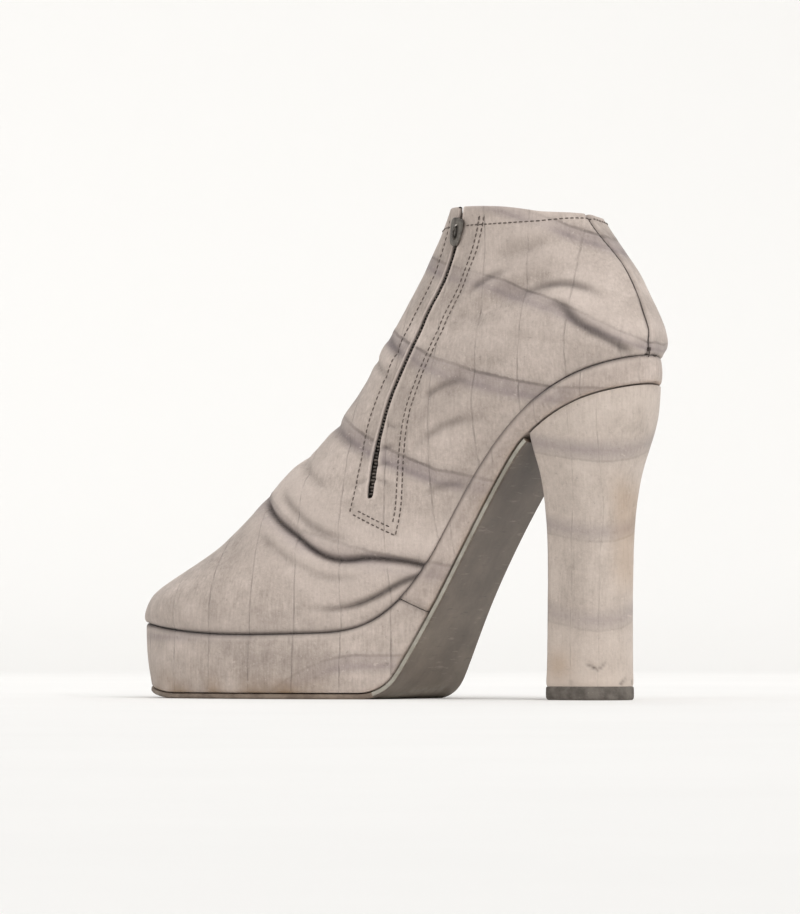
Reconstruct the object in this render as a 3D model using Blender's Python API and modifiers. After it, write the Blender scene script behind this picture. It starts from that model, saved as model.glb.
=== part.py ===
"""Platform ankle boot, right foot, standing empty on its sole.

Frame: +X toward the toe, +Y toward the medial side (the wearer's left), +Z up,
floor at Z = 0.  The origin is the middle of the heel's tread face.

The shoe is worked out from its last: length, ball width, seat height and collar
height drive short tables of sections, and every other piece follows from the
same feather line and sole line.  Tables are in fractions of those sizes; the
build itself runs in millimetres and writes metres.
"""
import math

import bmesh
import bpy
import numpy as np
from mathutils import Matrix, Vector

MM = 0.001

# ---- Driving dimensions, millimetres -------------------------------------
LAST_LENGTH = 216.0      # level length of the feather line, heel back to toe tip
HEEL_BACK = -24.0        # where the feather line starts, behind the heel's middle
BALL_WIDTH = 78.0        # width of the feather line at the ball
SEAT_HEIGHT = 126.6      # feather line above the floor at the heel's back
COLLAR_HEIGHT = 185.0    # front of the collar above the floor
WALL = 1.8               # leather and lining of the upper together
FIT = 0.35               # gap kept between pieces that touch

OUTSOLE_THICK = 2.0
INSOLE_THICK = 2.0
SEAT_THICK = 10.2        # covered board and rand over the heel
RAND_OVERHANG = 1.4      # rand stands proud of the upper
WRAP_OVERHANG = 0.7      # platform cover stands proud of the upper
TOP_PIECE_THICK = 5.0
HEEL_WIDTH = 27.9        # across the heel at its tread
HEEL_DEPTH = 26.9        # breast to back at its tread
HEEL_TURN = -8.0         # degrees the heel is turned in plan

SEAM_ALONG = 0.4375      # rand meets platform cover, fraction of LAST_LENGTH

SLOT_WIDTH = 3.0         # open line of the zip between its two lips
TAPE_WIDTH = 11.0
TAPE_CLEAR = 0.8          # tape hangs this far inside the wall
TAPE_THICK = 0.9
COIL_WIDTH = 2.1
COIL_RISE = 1.9
SLIDER = (11.0, 7.6, 2.8)    # length, width, thickness

# Resolution of the faceted solids
SIDE_COLUMNS = 30
WALL_ROWS = 21
RUNGS = 40

# ---- Tables ---------------------------------------------------------------
# Feather line (lower edge of the upper) from the side:
# along, height as fractions of LAST_LENGTH and SEAT_HEIGHT
FEATHER = [
    (0.000, 1.000),
    (0.097, 0.948),
    (0.213, 0.825),
    (0.319, 0.612),
    (0.407, 0.367),
    (0.486, 0.233),
    (0.588, 0.197),
    (0.792, 0.197),
    (1.000, 0.233),
]

# Feather line in plan: along, across as fractions of LAST_LENGTH, BALL_WIDTH
MEDIAL = [
    (0.000, 0.013),
    (0.013, 0.122),
    (0.049, 0.218),
    (0.102, 0.269),
    (0.204, 0.267),
    (0.319, 0.231),
    (0.421, 0.263),
    (0.523, 0.359),
    (0.625, 0.423),
    (0.718, 0.444),
    (0.810, 0.421),
    (0.894, 0.350),
    (0.954, 0.241),
    (0.990, 0.141),
    (1.000, 0.051),
]
LATERAL = [
    (0.000, 0.013),
    (0.008, -0.090),
    (0.039, -0.205),
    (0.097, -0.290),
    (0.204, -0.333),
    (0.319, -0.340),
    (0.421, -0.410),
    (0.523, -0.506),
    (0.606, -0.549),
    (0.681, -0.538),
    (0.773, -0.471),
    (0.856, -0.356),
    (0.931, -0.199),
    (0.983, -0.045),
    (1.000, 0.051),
]

# How far the outsole's edge lies inside the feather line: along, then
# millimetres on the medial and lateral side
SOLE_INSET = [
    (0.201, 3.4, 1.5),
    (0.255, 3.2, 2.0),
    (0.319, 2.4, 2.5),
    (0.375, 2.3, 2.9),
    (0.431, 1.3, 1.7),
    (0.486, 0.5, 1.5),
    (0.546, 0.3, 1.2),
    (0.620, 0.1, 1.2),
    (0.713, 0.4, -0.3),
    (0.850, 0.4, 0.4),
    (1.000, 0.4, 0.4),
]

# Lower face of the outsole from the side, millimetres: the waist is one Bezier
# from the breast down, the platform's back rolls on an arc into the flat tread.
WAIST_BEZIER = [(19.5, 95.0), (30.5, 86.0), (56.0, 37.0), (71.5, 9.0)]
ROLL_CENTRE_X = 86.0
ROLL_RADIUS = 16.0
ROLL_ANGLE = 62.0
TREAD_END = 166.0
TIP_X = 190.8
TOE_SPRING = 3.0

# Sections of the last above the ankle, collar first.  Each is a line seen from
# the side, back to front (along, height of COLLAR_HEIGHT), with the middle's
# offset, the swell to each side (of BALL_WIDTH), where along the line it is
# widest and how full its front rounds over.
SECTION_COLUMNS = ("back_along", "back_height", "front_along", "front_height", "middle",
                   "swell_medial", "swell_lateral", "widest", "fullness")
ANKLE = [
    (0.120, 0.976, 0.398, 1.000, -0.064, 0.282, 0.359, 0.500, 2.000),
    (0.088, 0.924, 0.417, 0.951, -0.058, 0.269, 0.365, 0.440, 2.000),
    (0.046, 0.857, 0.440, 0.892, -0.038, 0.263, 0.378, 0.380, 2.100),
    (0.009, 0.773, 0.465, 0.832, -0.013, 0.288, 0.385, 0.320, 2.100),
    (0.000, 0.684, 0.491, 0.773, 0.008, 0.308, 0.385, 0.280, 2.100),
]
# Sections from the seat to the toe: each starts on the feather line at
# foot_along and leans forward to the ridge of the instep, vamp and toe.
FOOT_COLUMNS = ("foot_along", "ridge_along", "ridge_height", "middle",
                "swell_medial", "swell_lateral", "widest", "fullness")
FOOT = [
    (0.083, 0.530, 0.695, 0.010, 0.199, 0.256, 0.300, 2.100),
    (0.185, 0.572, 0.619, 0.008, 0.186, 0.237, 0.320, 2.000),
    (0.278, 0.618, 0.554, 0.003, 0.212, 0.244, 0.340, 1.950),
    (0.352, 0.662, 0.508, 0.000, 0.241, 0.244, 0.350, 1.900),
    (0.412, 0.702, 0.479, 0.000, 0.256, 0.231, 0.350, 1.900),
    (0.468, 0.735, 0.443, 0.003, 0.224, 0.205, 0.340, 1.950),
    (0.532, 0.768, 0.403, 0.006, 0.176, 0.167, 0.330, 2.000),
    (0.611, 0.803, 0.360, 0.013, 0.127, 0.128, 0.300, 2.000),
    (0.704, 0.847, 0.316, 0.023, 0.078, 0.100, 0.280, 2.000),
    (0.801, 0.903, 0.276, 0.033, 0.055, 0.075, 0.260, 1.900),
    (0.903, 0.960, 0.237, 0.046, 0.038, 0.050, 0.240, 1.850),
    (0.968, 0.993, 0.200, 0.050, 0.020, 0.026, 0.240, 1.850),
    (1.000, 1.000, 0.159, 0.051, 0.000, 0.000, 0.280, 2.300),
]

# Heel block: level between tread (0) and seat (1), then millimetres
HEEL_COLUMNS = ("level", "back_x", "breast_x", "half", "breast_half", "middle", "roundness", "turn")
HEEL = [
    (0.00, -13.45, 13.45, 13.9, 13.5, 0.0, 2.30, 1.00),
    (0.26, -13.35, 13.05, 13.5, 13.1, 0.0, 2.30, 1.00),
    (0.48, -13.9, 12.9, 13.8, 13.2, 0.0, 2.30, 1.00),
    (0.62, -14.9, 13.2, 14.6, 13.6, -0.2, 2.28, 0.90),
    (0.71, -16.8, 13.8, 15.8, 14.2, -0.3, 2.24, 0.72),
    (0.80, -20.0, 14.9, 17.6, 15.2, -0.5, 2.18, 0.46),
    (0.89, -23.0, 16.6, 19.8, 16.7, -0.8, 2.12, 0.20),
    (0.95, -23.9, 17.9, 20.9, 17.8, -1.1, 2.08, 0.07),
    (1.00, -24.1, 18.9, 21.4, 18.6, -1.4, 2.06, 0.00),
]
HEEL_STATIONS = 15
HEEL_LAYERS = 16

# Zip line on the medial side, bottom end first: along, height of COLLAR_HEIGHT
ZIP_LINE = [
    (0.487, 0.403),
    (0.484, 0.465),
    (0.477, 0.530),
    (0.461, 0.605),
    (0.431, 0.697),
    (0.396, 0.789),
    (0.363, 0.881),
    (0.338, 0.995),
]


# ---- Curves ---------------------------------------------------------------
def spline(knots, values, at):
    """Natural cubic through (knots, values), read at the given places."""
    knots, values, at = (np.asarray(a, float) for a in (knots, values, at))
    count = len(knots)
    step = np.diff(knots)
    system, right = np.eye(count), np.zeros(count)
    for i in range(1, count - 1):
        system[i, i - 1:i + 2] = step[i - 1], 2 * (step[i - 1] + step[i]), step[i]
        right[i] = 6 * ((values[i + 1] - values[i]) / step[i]
                        - (values[i] - values[i - 1]) / step[i - 1])
    bend = np.linalg.solve(system, right)
    i = np.clip(np.searchsorted(knots, at) - 1, 0, count - 2)
    t, h = at - knots[i], step[i]
    slope = (values[i + 1] - values[i]) / h - h * (2 * bend[i] + bend[i + 1]) / 6
    return values[i] + slope * t + bend[i] / 2 * t ** 2 + (bend[i + 1] - bend[i]) / (6 * h) * t ** 3


def lengths(points):
    """Running length along a polyline."""
    steps = np.sqrt((np.diff(points, axis=0) ** 2).sum(axis=1))
    return np.concatenate([[0.0], np.cumsum(steps)])


def resample(points, fractions):
    """Points of a polyline at fractions of its length."""
    run = lengths(points)
    at = np.asarray(fractions) * run[-1]
    return np.column_stack([np.interp(at, run, points[:, k]) for k in range(points.shape[1])])


def offset_curve(points, distance):
    """A side-view or plan polyline moved to its left by distance."""
    along = np.gradient(points, axis=0)
    along /= np.linalg.norm(along, axis=1)[:, None]
    return points + distance * np.column_stack([-along[:, 1], along[:, 0]])


def x_at(along):
    return HEEL_BACK + np.asarray(along) * LAST_LENGTH


FEATHER_TABLE = np.array(FEATHER)


def feather_z(x):
    """Height of the feather line over the floor."""
    return spline(x_at(FEATHER_TABLE[:, 0]), FEATHER_TABLE[:, 1] * SEAT_HEIGHT, x)


def feather_curve(distance=0.0, count=400, before=0.0, after=0.0):
    """Feather line from the side, moved up (+) or down (-) square to itself."""
    x = np.linspace(HEEL_BACK - before, HEEL_BACK + LAST_LENGTH + after, count)
    return offset_curve(np.column_stack([x, feather_z(x)]), distance)


def plan_outline(outset=0.0, count=600):
    """Feather line in plan: medial and lateral edges, heel back to toe tip."""
    medial, lateral = np.array(MEDIAL), np.array(LATERAL)
    ring = np.vstack([medial, lateral[::-1][1:-1]])
    ring = np.column_stack([x_at(ring[:, 0]), ring[:, 1] * BALL_WIDTH])
    triple = np.vstack([ring, ring, ring])
    run = lengths(triple)
    size = len(ring)
    start, tip, end = run[size], run[size + len(medial) - 1], run[2 * size]
    edges = []
    for first, sign in ((start, 1.0), (end, -1.0)):
        u = np.linspace(first, tip, count * 4)
        edge = np.column_stack([spline(run, triple[:, 0], u), spline(run, triple[:, 1], u)])
        edge = offset_curve(edge, sign * outset) if outset else edge
        edges.append(resample(edge, np.linspace(0, 1, count)))
    return edges


def edge_reader(edge):
    """Function giving an edge's Y at any X."""
    x = np.maximum.accumulate(edge[:, 0]) + np.arange(len(edge)) * 1e-9
    return lambda at: np.interp(at, x, edge[:, 1])


def sole_edges(x, outset=0.0):
    """Medial and lateral Y of the outsole's edge at each X."""
    table = np.array(SOLE_INSET)
    medial, lateral = plan_outline()
    tip = medial[-1, 0]
    ahead = np.clip((x - 160.0) / (TIP_X - 160.0), 0, 1.1)
    at = x + (tip - TIP_X) * ahead ** 2
    inset_m, inset_l = (spline(x_at(table[:, 0]), table[:, k], x) - outset for k in (1, 2))
    fade = np.sqrt(np.clip((TIP_X + outset - x) / 3.0, 0, 1))
    return edge_reader(medial)(at) - inset_m * fade, edge_reader(lateral)(at) + inset_l * fade


def bezier(points, count):
    t = np.linspace(0, 1, count)[:, None]
    a, b, c, d = (np.array(p, float) for p in points)
    return (1 - t) ** 3 * a + 3 * (1 - t) ** 2 * t * b + 3 * (1 - t) * t ** 2 * c + t ** 3 * d


def sole_curve():
    """Lower face of the outsole from the side, breast to toe tip."""
    waist = bezier(WAIST_BEZIER, 80)
    turn = np.radians(np.linspace(ROLL_ANGLE, 0, 24))
    roll = np.column_stack([ROLL_CENTRE_X - ROLL_RADIUS * np.sin(turn),
                            ROLL_RADIUS * (1 - np.cos(turn))])
    flat_x = np.linspace(ROLL_CENTRE_X, TREAD_END, 60)
    flat = np.column_stack([flat_x, np.zeros_like(flat_x)])
    tip_x = np.linspace(TREAD_END, TIP_X, 16)
    rise = TOE_SPRING * ((tip_x - TREAD_END) / (TIP_X - TREAD_END)) ** 2
    return np.vstack([waist[:-1], roll, flat[1:], np.column_stack([tip_x, rise])[1:]])


# ---- The last -------------------------------------------------------------
class Last:
    """The foot form: gives the upper's surface from the side-view position."""

    SAMPLES = 900

    def __init__(self):
        ankle, foot = np.array(ANKLE), np.array(FOOT)
        rows = []
        for row in ankle:
            rows.append([x_at(row[0]), row[1] * COLLAR_HEIGHT, x_at(row[2]), row[3] * COLLAR_HEIGHT,
                         *(row[4:7] * BALL_WIDTH), *row[7:]])
        for row in foot:
            x = x_at(row[0])
            rows.append([x, float(feather_z(x)), x_at(row[1]), row[2] * COLLAR_HEIGHT,
                         *(row[3:6] * BALL_WIDTH), *row[6:]])
        rows = np.array(rows)
        low = np.hypot(*np.diff(rows[:, 0:2], axis=0).T)
        high = np.hypot(*np.diff(rows[:, 2:4], axis=0).T)
        run = np.concatenate([[0.0], np.cumsum(np.maximum(low, high))])
        u = np.linspace(0, run[-1], self.SAMPLES)
        self.table = np.column_stack([spline(run, rows[:, k], u) for k in range(rows.shape[1])])
        self.seat = int(np.searchsorted(u, run[len(ankle) - 1]))
        self.table[self.seat:, 1] = feather_z(self.table[self.seat:, 0])
        self.medial, self.lateral = plan_outline()
        below = np.arange(self.SAMPLES) >= self.seat
        x, middle = self.table[:, 0], self.table[:, 4]
        self.low_medial = np.where(below, edge_reader(self.medial)(x) - middle, 0).clip(min=0)
        self.low_lateral = np.where(below, middle - edge_reader(self.lateral)(x), 0).clip(min=0)

    def across(self, x, z, side):
        """Y of the surface at a side-view point; side is +1 medial, -1 lateral."""
        low, line = self.table[:, 0:2], self.table[:, 2:4] - self.table[:, 0:2]
        over = line[:, 0] * (z - low[:, 1]) - line[:, 1] * (x - low[:, 0])
        hits = np.nonzero((over[:-1] <= 0) & (over[1:] > 0))[0]
        if len(hits):
            i = hits[0]
            f = -over[i] / (over[i + 1] - over[i])
        else:
            i, f = (0, 0.0) if over[0] > 0 else (self.SAMPLES - 2, 1.0)
        row = self.table[i] * (1 - f) + self.table[i + 1] * f
        rise = row[2:4] - row[0:2]
        h = ((x - row[0]) * rise[0] + (z - row[1]) * rise[1]) / max(rise @ rise, 1e-9)
        h = min(max(h, 0.0), 1.0)
        foot = self.low_medial if side > 0 else self.low_lateral
        foot = foot[i] * (1 - f) + foot[i + 1] * f
        swell = row[5] if side > 0 else row[6]
        grow = 1 - (1 - min(h / row[7], 1.0)) ** 2
        half = math.sqrt(foot ** 2 + swell ** 2 * grow)
        if h > row[7]:
            half *= math.sqrt(max(1 - ((h - row[7]) / (1 - row[7])) ** row[8], 0.0))
        return row[4] + side * half

    def point(self, x, z, side=1):
        return np.array([x, self.across(x, z, side), z])

    def frame(self, x, z, side=1, step=0.6):
        """Surface point and outward normal."""
        dx = self.point(x + step, z, side) - self.point(x - step, z, side)
        dz = self.point(x, z + step, side) - self.point(x, z - step, side)
        normal = np.cross(dz, dx) * side
        return self.point(x, z, side), normal / np.linalg.norm(normal)

    def sheet(self, side, columns, rows):
        """Grid of surface points, rows from feather to collar, columns back to ridge."""
        across, up = np.linspace(0, 1, columns), np.linspace(0, 1, rows)
        back = resample(self.table[:self.seat + 1, 0:2][::-1], up)
        ridge = resample(self.table[:, 2:4][::-1], up ** 1.25)
        lean = (1 - np.cos(np.pi * across)) / 2
        collar = back[-1] + (ridge[-1] - back[-1]) * lean[:, None]
        edge = self.medial if side > 0 else self.lateral
        plan = resample(edge, across)
        foot = np.column_stack([plan[:, 0], feather_z(plan[:, 0])])
        grid = np.zeros((rows, columns, 3))
        for j, v in enumerate(up):
            for i, a in enumerate(lean):
                corners = ((1 - a) * (1 - v) * foot[0] + a * (1 - v) * foot[-1]
                           + (1 - a) * v * collar[0] + a * v * collar[-1])
                x, z = ((1 - v) * foot[i] + v * collar[i] + (1 - a) * back[j] + a * ridge[j]
                        - corners)
                y = plan[i, 1] if j == 0 else self.across(x, z, side)
                grid[j, i] = x, y, z
        return grid


# ---- Scene helpers ----------------------------------------------------------
def srgb(code):
    """Linear colour of a hex code."""
    parts = [int(code[i:i + 2], 16) / 255 for i in (0, 2, 4)]
    return [c / 12.92 if c <= 0.04045 else ((c + 0.055) / 1.055) ** 2.4 for c in parts] + [1.0]


def material(name, code, roughness, metallic=0.0):
    made = bpy.data.materials.new(name)
    made.use_nodes = True
    shader = made.node_tree.nodes["Principled BSDF"]
    shader.inputs["Base Color"].default_value = srgb(code)
    shader.inputs["Roughness"].default_value = roughness
    shader.inputs["Metallic"].default_value = metallic
    made.diffuse_color = srgb(code)
    return made


def new_object(name, mesh, collection, finish=None):
    made = bpy.data.objects.new(name, mesh)
    collection.objects.link(made)
    if finish:
        mesh.materials.append(finish)
    return made


def rings_mesh(name, rings, capped=True, flip=False):
    """Mesh lofted through closed rings of points in millimetres."""
    work = bmesh.new()
    layers = [[work.verts.new(Vector(p) * MM) for p in ring] for ring in rings]
    count = len(layers[0])
    for low, high in zip(layers, layers[1:]):
        for k in range(count):
            n = (k + 1) % count
            work.faces.new((low[k], low[n], high[n], high[k]))
    if capped:
        work.faces.new(layers[0][::-1])
        work.faces.new(layers[-1])
    if capped:
        bmesh.ops.recalc_face_normals(work, faces=work.faces)
    elif flip:
        bmesh.ops.reverse_faces(work, faces=work.faces)
    for face in work.faces:
        face.smooth = True
    mesh = bpy.data.meshes.new(name)
    work.to_mesh(mesh)
    work.free()
    return mesh


def slab_mesh(name, top, bottom, crown=0.0):
    """Board between two faces that are level from side to side.

    top and bottom are (side-view points, medial Y, lateral Y) with a row for
    each rung; crown pushes the middle of the edge outward.
    """
    rings = []
    for (tx, tz), tm, tl, (bx, bz), bm, bl in zip(*top, *bottom):
        mx, mz = (tx + bx) / 2, (tz + bz) / 2
        rings.append([(tx, tl, tz), (tx, tm, tz), (mx, (tm + bm) / 2 + crown, mz),
                      (bx, bm, bz), (bx, bl, bz), (mx, (tl + bl) / 2 - crown, mz)])
    return rings_mesh(name, rings)


def sharpen(mesh, degrees):
    mesh.set_sharp_from_angle(angle=math.radians(degrees))


def eased(count, start=0.0, end=0.0):
    """Fractions from 0 to 1, closer together toward both ends."""
    t = np.linspace(start, 1 - end, count)
    return (1 - np.cos(np.pi * t)) / 2


# ---- Pieces -----------------------------------------------------------------
def build_upper(last, collection, cutters, finish):
    """Hollow upper: lofted skin, thickened inward, with the zip's slot cut."""
    medial = last.sheet(1, SIDE_COLUMNS, WALL_ROWS)
    lateral = last.sheet(-1, SIDE_COLUMNS, WALL_ROWS)
    rings = [np.vstack([m, l[::-1][1:-1]]) for m, l in zip(medial, lateral)]
    mesh = rings_mesh("upper", rings, capped=False, flip=True)
    upper = new_object("upper", mesh, collection, finish)
    shell = upper.modifiers.new("wall", "SOLIDIFY")
    shell.thickness = WALL * MM
    shell.offset = -1.0
    shell.use_even_offset = True
    shell.use_rim = True
    slot = new_object("zip_slot_cutter", slot_mesh(last), cutters)
    slot.display_type = "WIRE"
    slot.hide_render = True
    cut = upper.modifiers.new("zip_slot", "BOOLEAN")
    cut.operation = "DIFFERENCE"
    cut.solver = "EXACT"
    cut.object = slot
    return upper


def zip_points(fractions):
    """Side-view points of the zip line."""
    table = np.array(ZIP_LINE)
    knots = np.column_stack([x_at(table[:, 0]), table[:, 1] * COLLAR_HEIGHT])
    run = lengths(knots)
    u = np.linspace(0, run[-1], 200)
    curve = np.column_stack([spline(run, knots[:, 0], u), spline(run, knots[:, 1], u)])
    return resample(curve, fractions)


def slot_mesh(last):
    """Cutter for the slot: a ribbon along the zip line, pushed through the medial wall."""
    centre = zip_points(np.linspace(0, 1, 26))
    beyond = centre[-1] + (centre[-1] - centre[-2]) * 4
    centre = np.vstack([centre, beyond])
    half = SLOT_WIDTH / 2
    front, back = offset_curve(centre, -half), offset_curve(centre, half)
    heading = (centre[0] - centre[1]) / np.linalg.norm(centre[0] - centre[1])
    square = np.array([heading[1], -heading[0]])
    nose = [centre[0] + half * (math.cos(a) * square + math.sin(a) * heading)
            for a in np.radians(np.linspace(150, 30, 5))]
    outline = np.vstack([front[::-1], nose if np.dot(nose[0] - front[0], nose[0] - front[0])
                         < np.dot(nose[-1] - front[0], nose[-1] - front[0]) else nose[::-1], back])
    rings = [[(x, y, z) for x, z in outline] for y in (4.0, 60.0)]
    return rings_mesh("zip_slot_cutter", rings)


def build_zip(last, collection, finish):
    """Tape behind the slot with the closed coil standing up into it.

    Depths are measured square to the wall but laid off along Y, the way the
    slot runs through it, so that the coil stays in the middle of the slot.
    """
    lay = WALL + TAPE_CLEAR
    half_tape, half_coil = TAPE_WIDTH / 2, COIL_WIDTH / 2
    crown_depth = lay - COIL_RISE
    section = [(-half_tape, lay), (-half_coil, lay), (-half_coil, crown_depth), (half_coil, crown_depth),
               (half_coil, lay), (half_tape, lay), (half_tape, lay + TAPE_THICK),
               (-half_tape, lay + TAPE_THICK)]
    centre = zip_points(np.linspace(0.012, 0.985, 26))
    across = offset_curve(centre, 1.0) - centre
    rings = []
    for point, step in zip(centre, across):
        ring = []
        for reach, depth in section:
            spot, normal = last.frame(*(point + reach * step))
            ring.append(spot - np.array([0.0, depth / max(normal[1], 0.5), 0.0]))
        rings.append(ring)
    mesh = rings_mesh("zip", rings)
    sharpen(mesh, 35)
    return new_object("zip", mesh, collection, finish)


def build_slider(last, collection, finish):
    """Plain slider resting over the slot near the collar."""
    where = zip_points([0.90, 0.92, 0.94])
    spot, normal = last.frame(*where[1])
    ahead = last.point(*where[2]) - last.point(*where[0])
    normal, ahead = Vector(normal), Vector(ahead).normalized()
    side = normal.cross(ahead).normalized()
    ahead = side.cross(normal).normalized()
    length, width, thick = (size * MM for size in SLIDER)
    bpy.ops.mesh.primitive_cube_add(size=1.0)
    slider = bpy.context.object
    slider.name = slider.data.name = "zip_slider"
    for home in slider.users_collection:
        home.objects.unlink(slider)
    collection.objects.link(slider)
    slider.data.transform(Matrix.Diagonal((length, width, thick, 1.0)))
    for vert in slider.data.vertices:
        if vert.co.x < 0:
            vert.co.y *= 0.72
    centre = Vector(spot) * MM + normal * (0.55 * MM + thick / 2)
    slider.matrix_world = Matrix.Translation(centre) @ Matrix((ahead, side, normal)).transposed().to_4x4()
    slider.data.materials.append(finish)
    bevel = slider.modifiers.new("edges", "BEVEL")
    bevel.width = 0.7 * MM
    bevel.segments = 2
    return slider


def build_insole(collection, finish):
    """Sock board inside the upper's lower edge."""
    medial, lateral = plan_outline(-(WALL + 1.0))
    read_m, read_l = edge_reader(medial), edge_reader(lateral)
    low, high = feather_curve(FIT, 800), feather_curve(FIT + INSOLE_THICK, 800)
    first, last_x = medial[0, 0] + 0.3, medial[-1, 0] - 2.2
    at = first + (last_x - first) * eased(RUNGS, 0.03, 0.03)
    pick = np.array([np.argmin(abs(low[:, 0] - x)) for x in at])
    top, bottom = high[pick], low[pick]
    edges = read_m(bottom[:, 0]), read_l(bottom[:, 0])
    mesh = slab_mesh("insole", (top, edges[0], edges[1]), (bottom, edges[0], edges[1]))
    sharpen(mesh, 35)
    return new_object("insole", mesh, collection, finish)


def nearest(points, target):
    return int(np.argmin(((points - target) ** 2).sum(axis=1)))


def under_curve():
    """Lower face of the covered boards: seat over the heel, then over the outsole."""
    over_sole = offset_curve(sole_curve(), OUTSOLE_THICK + FIT)
    feather = feather_curve(-FIT, 400, before=RAND_OVERHANG)
    start = nearest(feather, over_sole[0])
    end_thick = np.linalg.norm(feather[start] - over_sole[0])
    seat = feather[:start]
    blend = (np.arange(start) / start) ** 1.5
    depth = SEAT_THICK + (end_thick - SEAT_THICK) * blend
    along = np.gradient(seat, axis=0)
    along /= np.linalg.norm(along, axis=1)[:, None]
    seat = seat - depth[:, None] * np.column_stack([-along[:, 1], along[:, 0]])
    seat[:, 0] += 2.6 * (1 - np.arange(start) / start) ** 2
    keep = seat[:, 0] < over_sole[0, 0] - 0.5
    joined = np.vstack([seat[keep], over_sole])
    return resample(joined, np.linspace(0, 1, 900))


def boards():
    """Rungs that the rand and the platform share: upper and lower side-view points."""
    over = feather_curve(-FIT, 900, before=RAND_OVERHANG - 0.2, after=WRAP_OVERHANG - 0.2)
    under = under_curve()
    at = over[0, 0] + (over[-1, 0] - over[0, 0]) * eased(2 * RUNGS, 0.018, 0.018)
    seam = x_at(SEAM_ALONG)
    at[np.argmin(abs(at - seam))] = seam
    top = np.array([over[np.argmin(abs(over[:, 0] - x))] for x in at])
    cut = int(np.argmin(abs(at - seam)))
    found = [nearest(under, p) for p in top[:cut + 1]]
    ahead = lengths(top[cut:])
    found += [int(found[-1] + (len(under) - 1 - found[-1]) * f) for f in ahead[1:] / ahead[-1]]
    bottom = under[found]
    return top, bottom, cut


def board_edges(top, bottom, outset):
    """Medial and lateral Y of the upper and lower rungs."""
    medial, lateral = plan_outline(outset)
    up_m, up_l = edge_reader(medial)(top[:, 0]), edge_reader(lateral)(top[:, 0])
    seat_m, seat_l = edge_reader(medial)(bottom[:, 0]), edge_reader(lateral)(bottom[:, 0])
    sole_m, sole_l = sole_edges(bottom[:, 0], 0.5)
    mix = np.clip((bottom[:, 0] + 2.0) / 22.0, 0, 1)
    mix = mix * mix * (3 - 2 * mix)
    seat_m, seat_l = seat_m - 0.9, seat_l + 0.9
    return up_m, up_l, seat_m + (sole_m - seat_m) * mix, seat_l + (sole_l - seat_l) * mix


def build_rand(collection, finish):
    """Covered board and rand, from the heel's back to the platform."""
    top, bottom, cut = boards()
    top, bottom = top[:cut + 1], bottom[:cut + 1]
    shift = (top[-1] - top[-2]) / np.linalg.norm(top[-1] - top[-2]) * FIT / 2
    top, bottom = top.copy(), bottom.copy()
    top[-1] -= shift
    bottom[-1] -= shift
    up_m, up_l, low_m, low_l = board_edges(top, bottom, RAND_OVERHANG)
    mesh = slab_mesh("rand", (top, up_m, up_l), (bottom, low_m, low_l), crown=0.5)
    sharpen(mesh, 35)
    return new_object("rand", mesh, collection, finish)


def build_platform(collection, finish):
    """Covered platform under the ball and toes."""
    top, bottom, cut = boards()
    top, bottom = top[cut:].copy(), bottom[cut:].copy()
    shift = (top[1] - top[0]) / np.linalg.norm(top[1] - top[0]) * FIT / 2
    top[0] += shift
    bottom[0] += shift
    up_m, up_l, low_m, low_l = board_edges(top, bottom, WRAP_OVERHANG)
    mesh = slab_mesh("platform", (top, up_m, up_l), (bottom, low_m, low_l), crown=0.7)
    sharpen(mesh, 35)
    return new_object("platform", mesh, collection, finish)


def build_outsole(collection, finish):
    """Thin sole from the heel's breast to the toe."""
    low = resample(sole_curve(), np.linspace(0, 1, 900))
    high = offset_curve(low, OUTSOLE_THICK)
    run = np.concatenate([np.linspace(0, 0.42, 16)[:-1], np.linspace(0.42, 0.60, 14)[:-1],
                          0.60 + 0.40 * np.sin(np.linspace(0, 0.478, 20) * np.pi)])
    pick = np.clip((run * 899).astype(int), 0, 899)
    bottom, top = low[pick], high[pick]
    medial, lateral = sole_edges(bottom[:, 0])
    mesh = slab_mesh("outsole", (top, medial, lateral), (bottom, medial, lateral))
    sharpen(mesh, 35)
    return new_object("outsole", mesh, collection, finish)


def heel_section(row):
    """Plan of the heel at one level: ladder of (x, medial y, lateral y), back to breast."""
    _, back, breast, half, breast_half, middle, roundness, turn = row
    widest = back + (breast - back) * 0.56
    around = np.linspace(0.13, 0.5, HEEL_STATIONS - 6) * np.pi
    places = np.concatenate([back + (widest - back) * (1 - np.cos(around)),
                             np.linspace(widest, breast - 1.2, 6)[1:], [breast - 0.35, breast]])
    out = []
    for x in places:
        if x <= widest:
            w = half * (1 - ((widest - x) / (widest - back)) ** roundness) ** (1 / roundness)
        else:
            t = (x - widest) / (breast - widest)
            w = half + (breast_half - half) * t * t
        if x > breast - 1.3:
            w -= 1.3 * (1 - math.sqrt(max(1 - ((x - breast + 1.3) / 1.3) ** 2, 0)))
        out.append((x, middle + w, middle - w))
    angle = math.radians(HEEL_TURN * turn)
    return np.array(out), angle


def heel_rings(levels, low_z, high_z):
    """Rings of the heel between a floor height and a seat height given for each X."""
    table = np.array(HEEL)
    rings = []
    for level in levels:
        row = [spline(table[:, 0], table[:, k], level) for k in range(table.shape[1])]
        ladder, angle = heel_section([float(v) for v in row])
        ring = [(x, m) for x, m, _ in ladder] + [(x, l) for x, _, l in ladder[::-1]]
        turned = [(x * math.cos(angle) - y * math.sin(angle), x * math.sin(angle) + y * math.cos(angle))
                  for x, y in ring]
        rings.append([(x, y, low_z + level * (high_z(x) - low_z)) for x, y in turned])
    return rings


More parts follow.
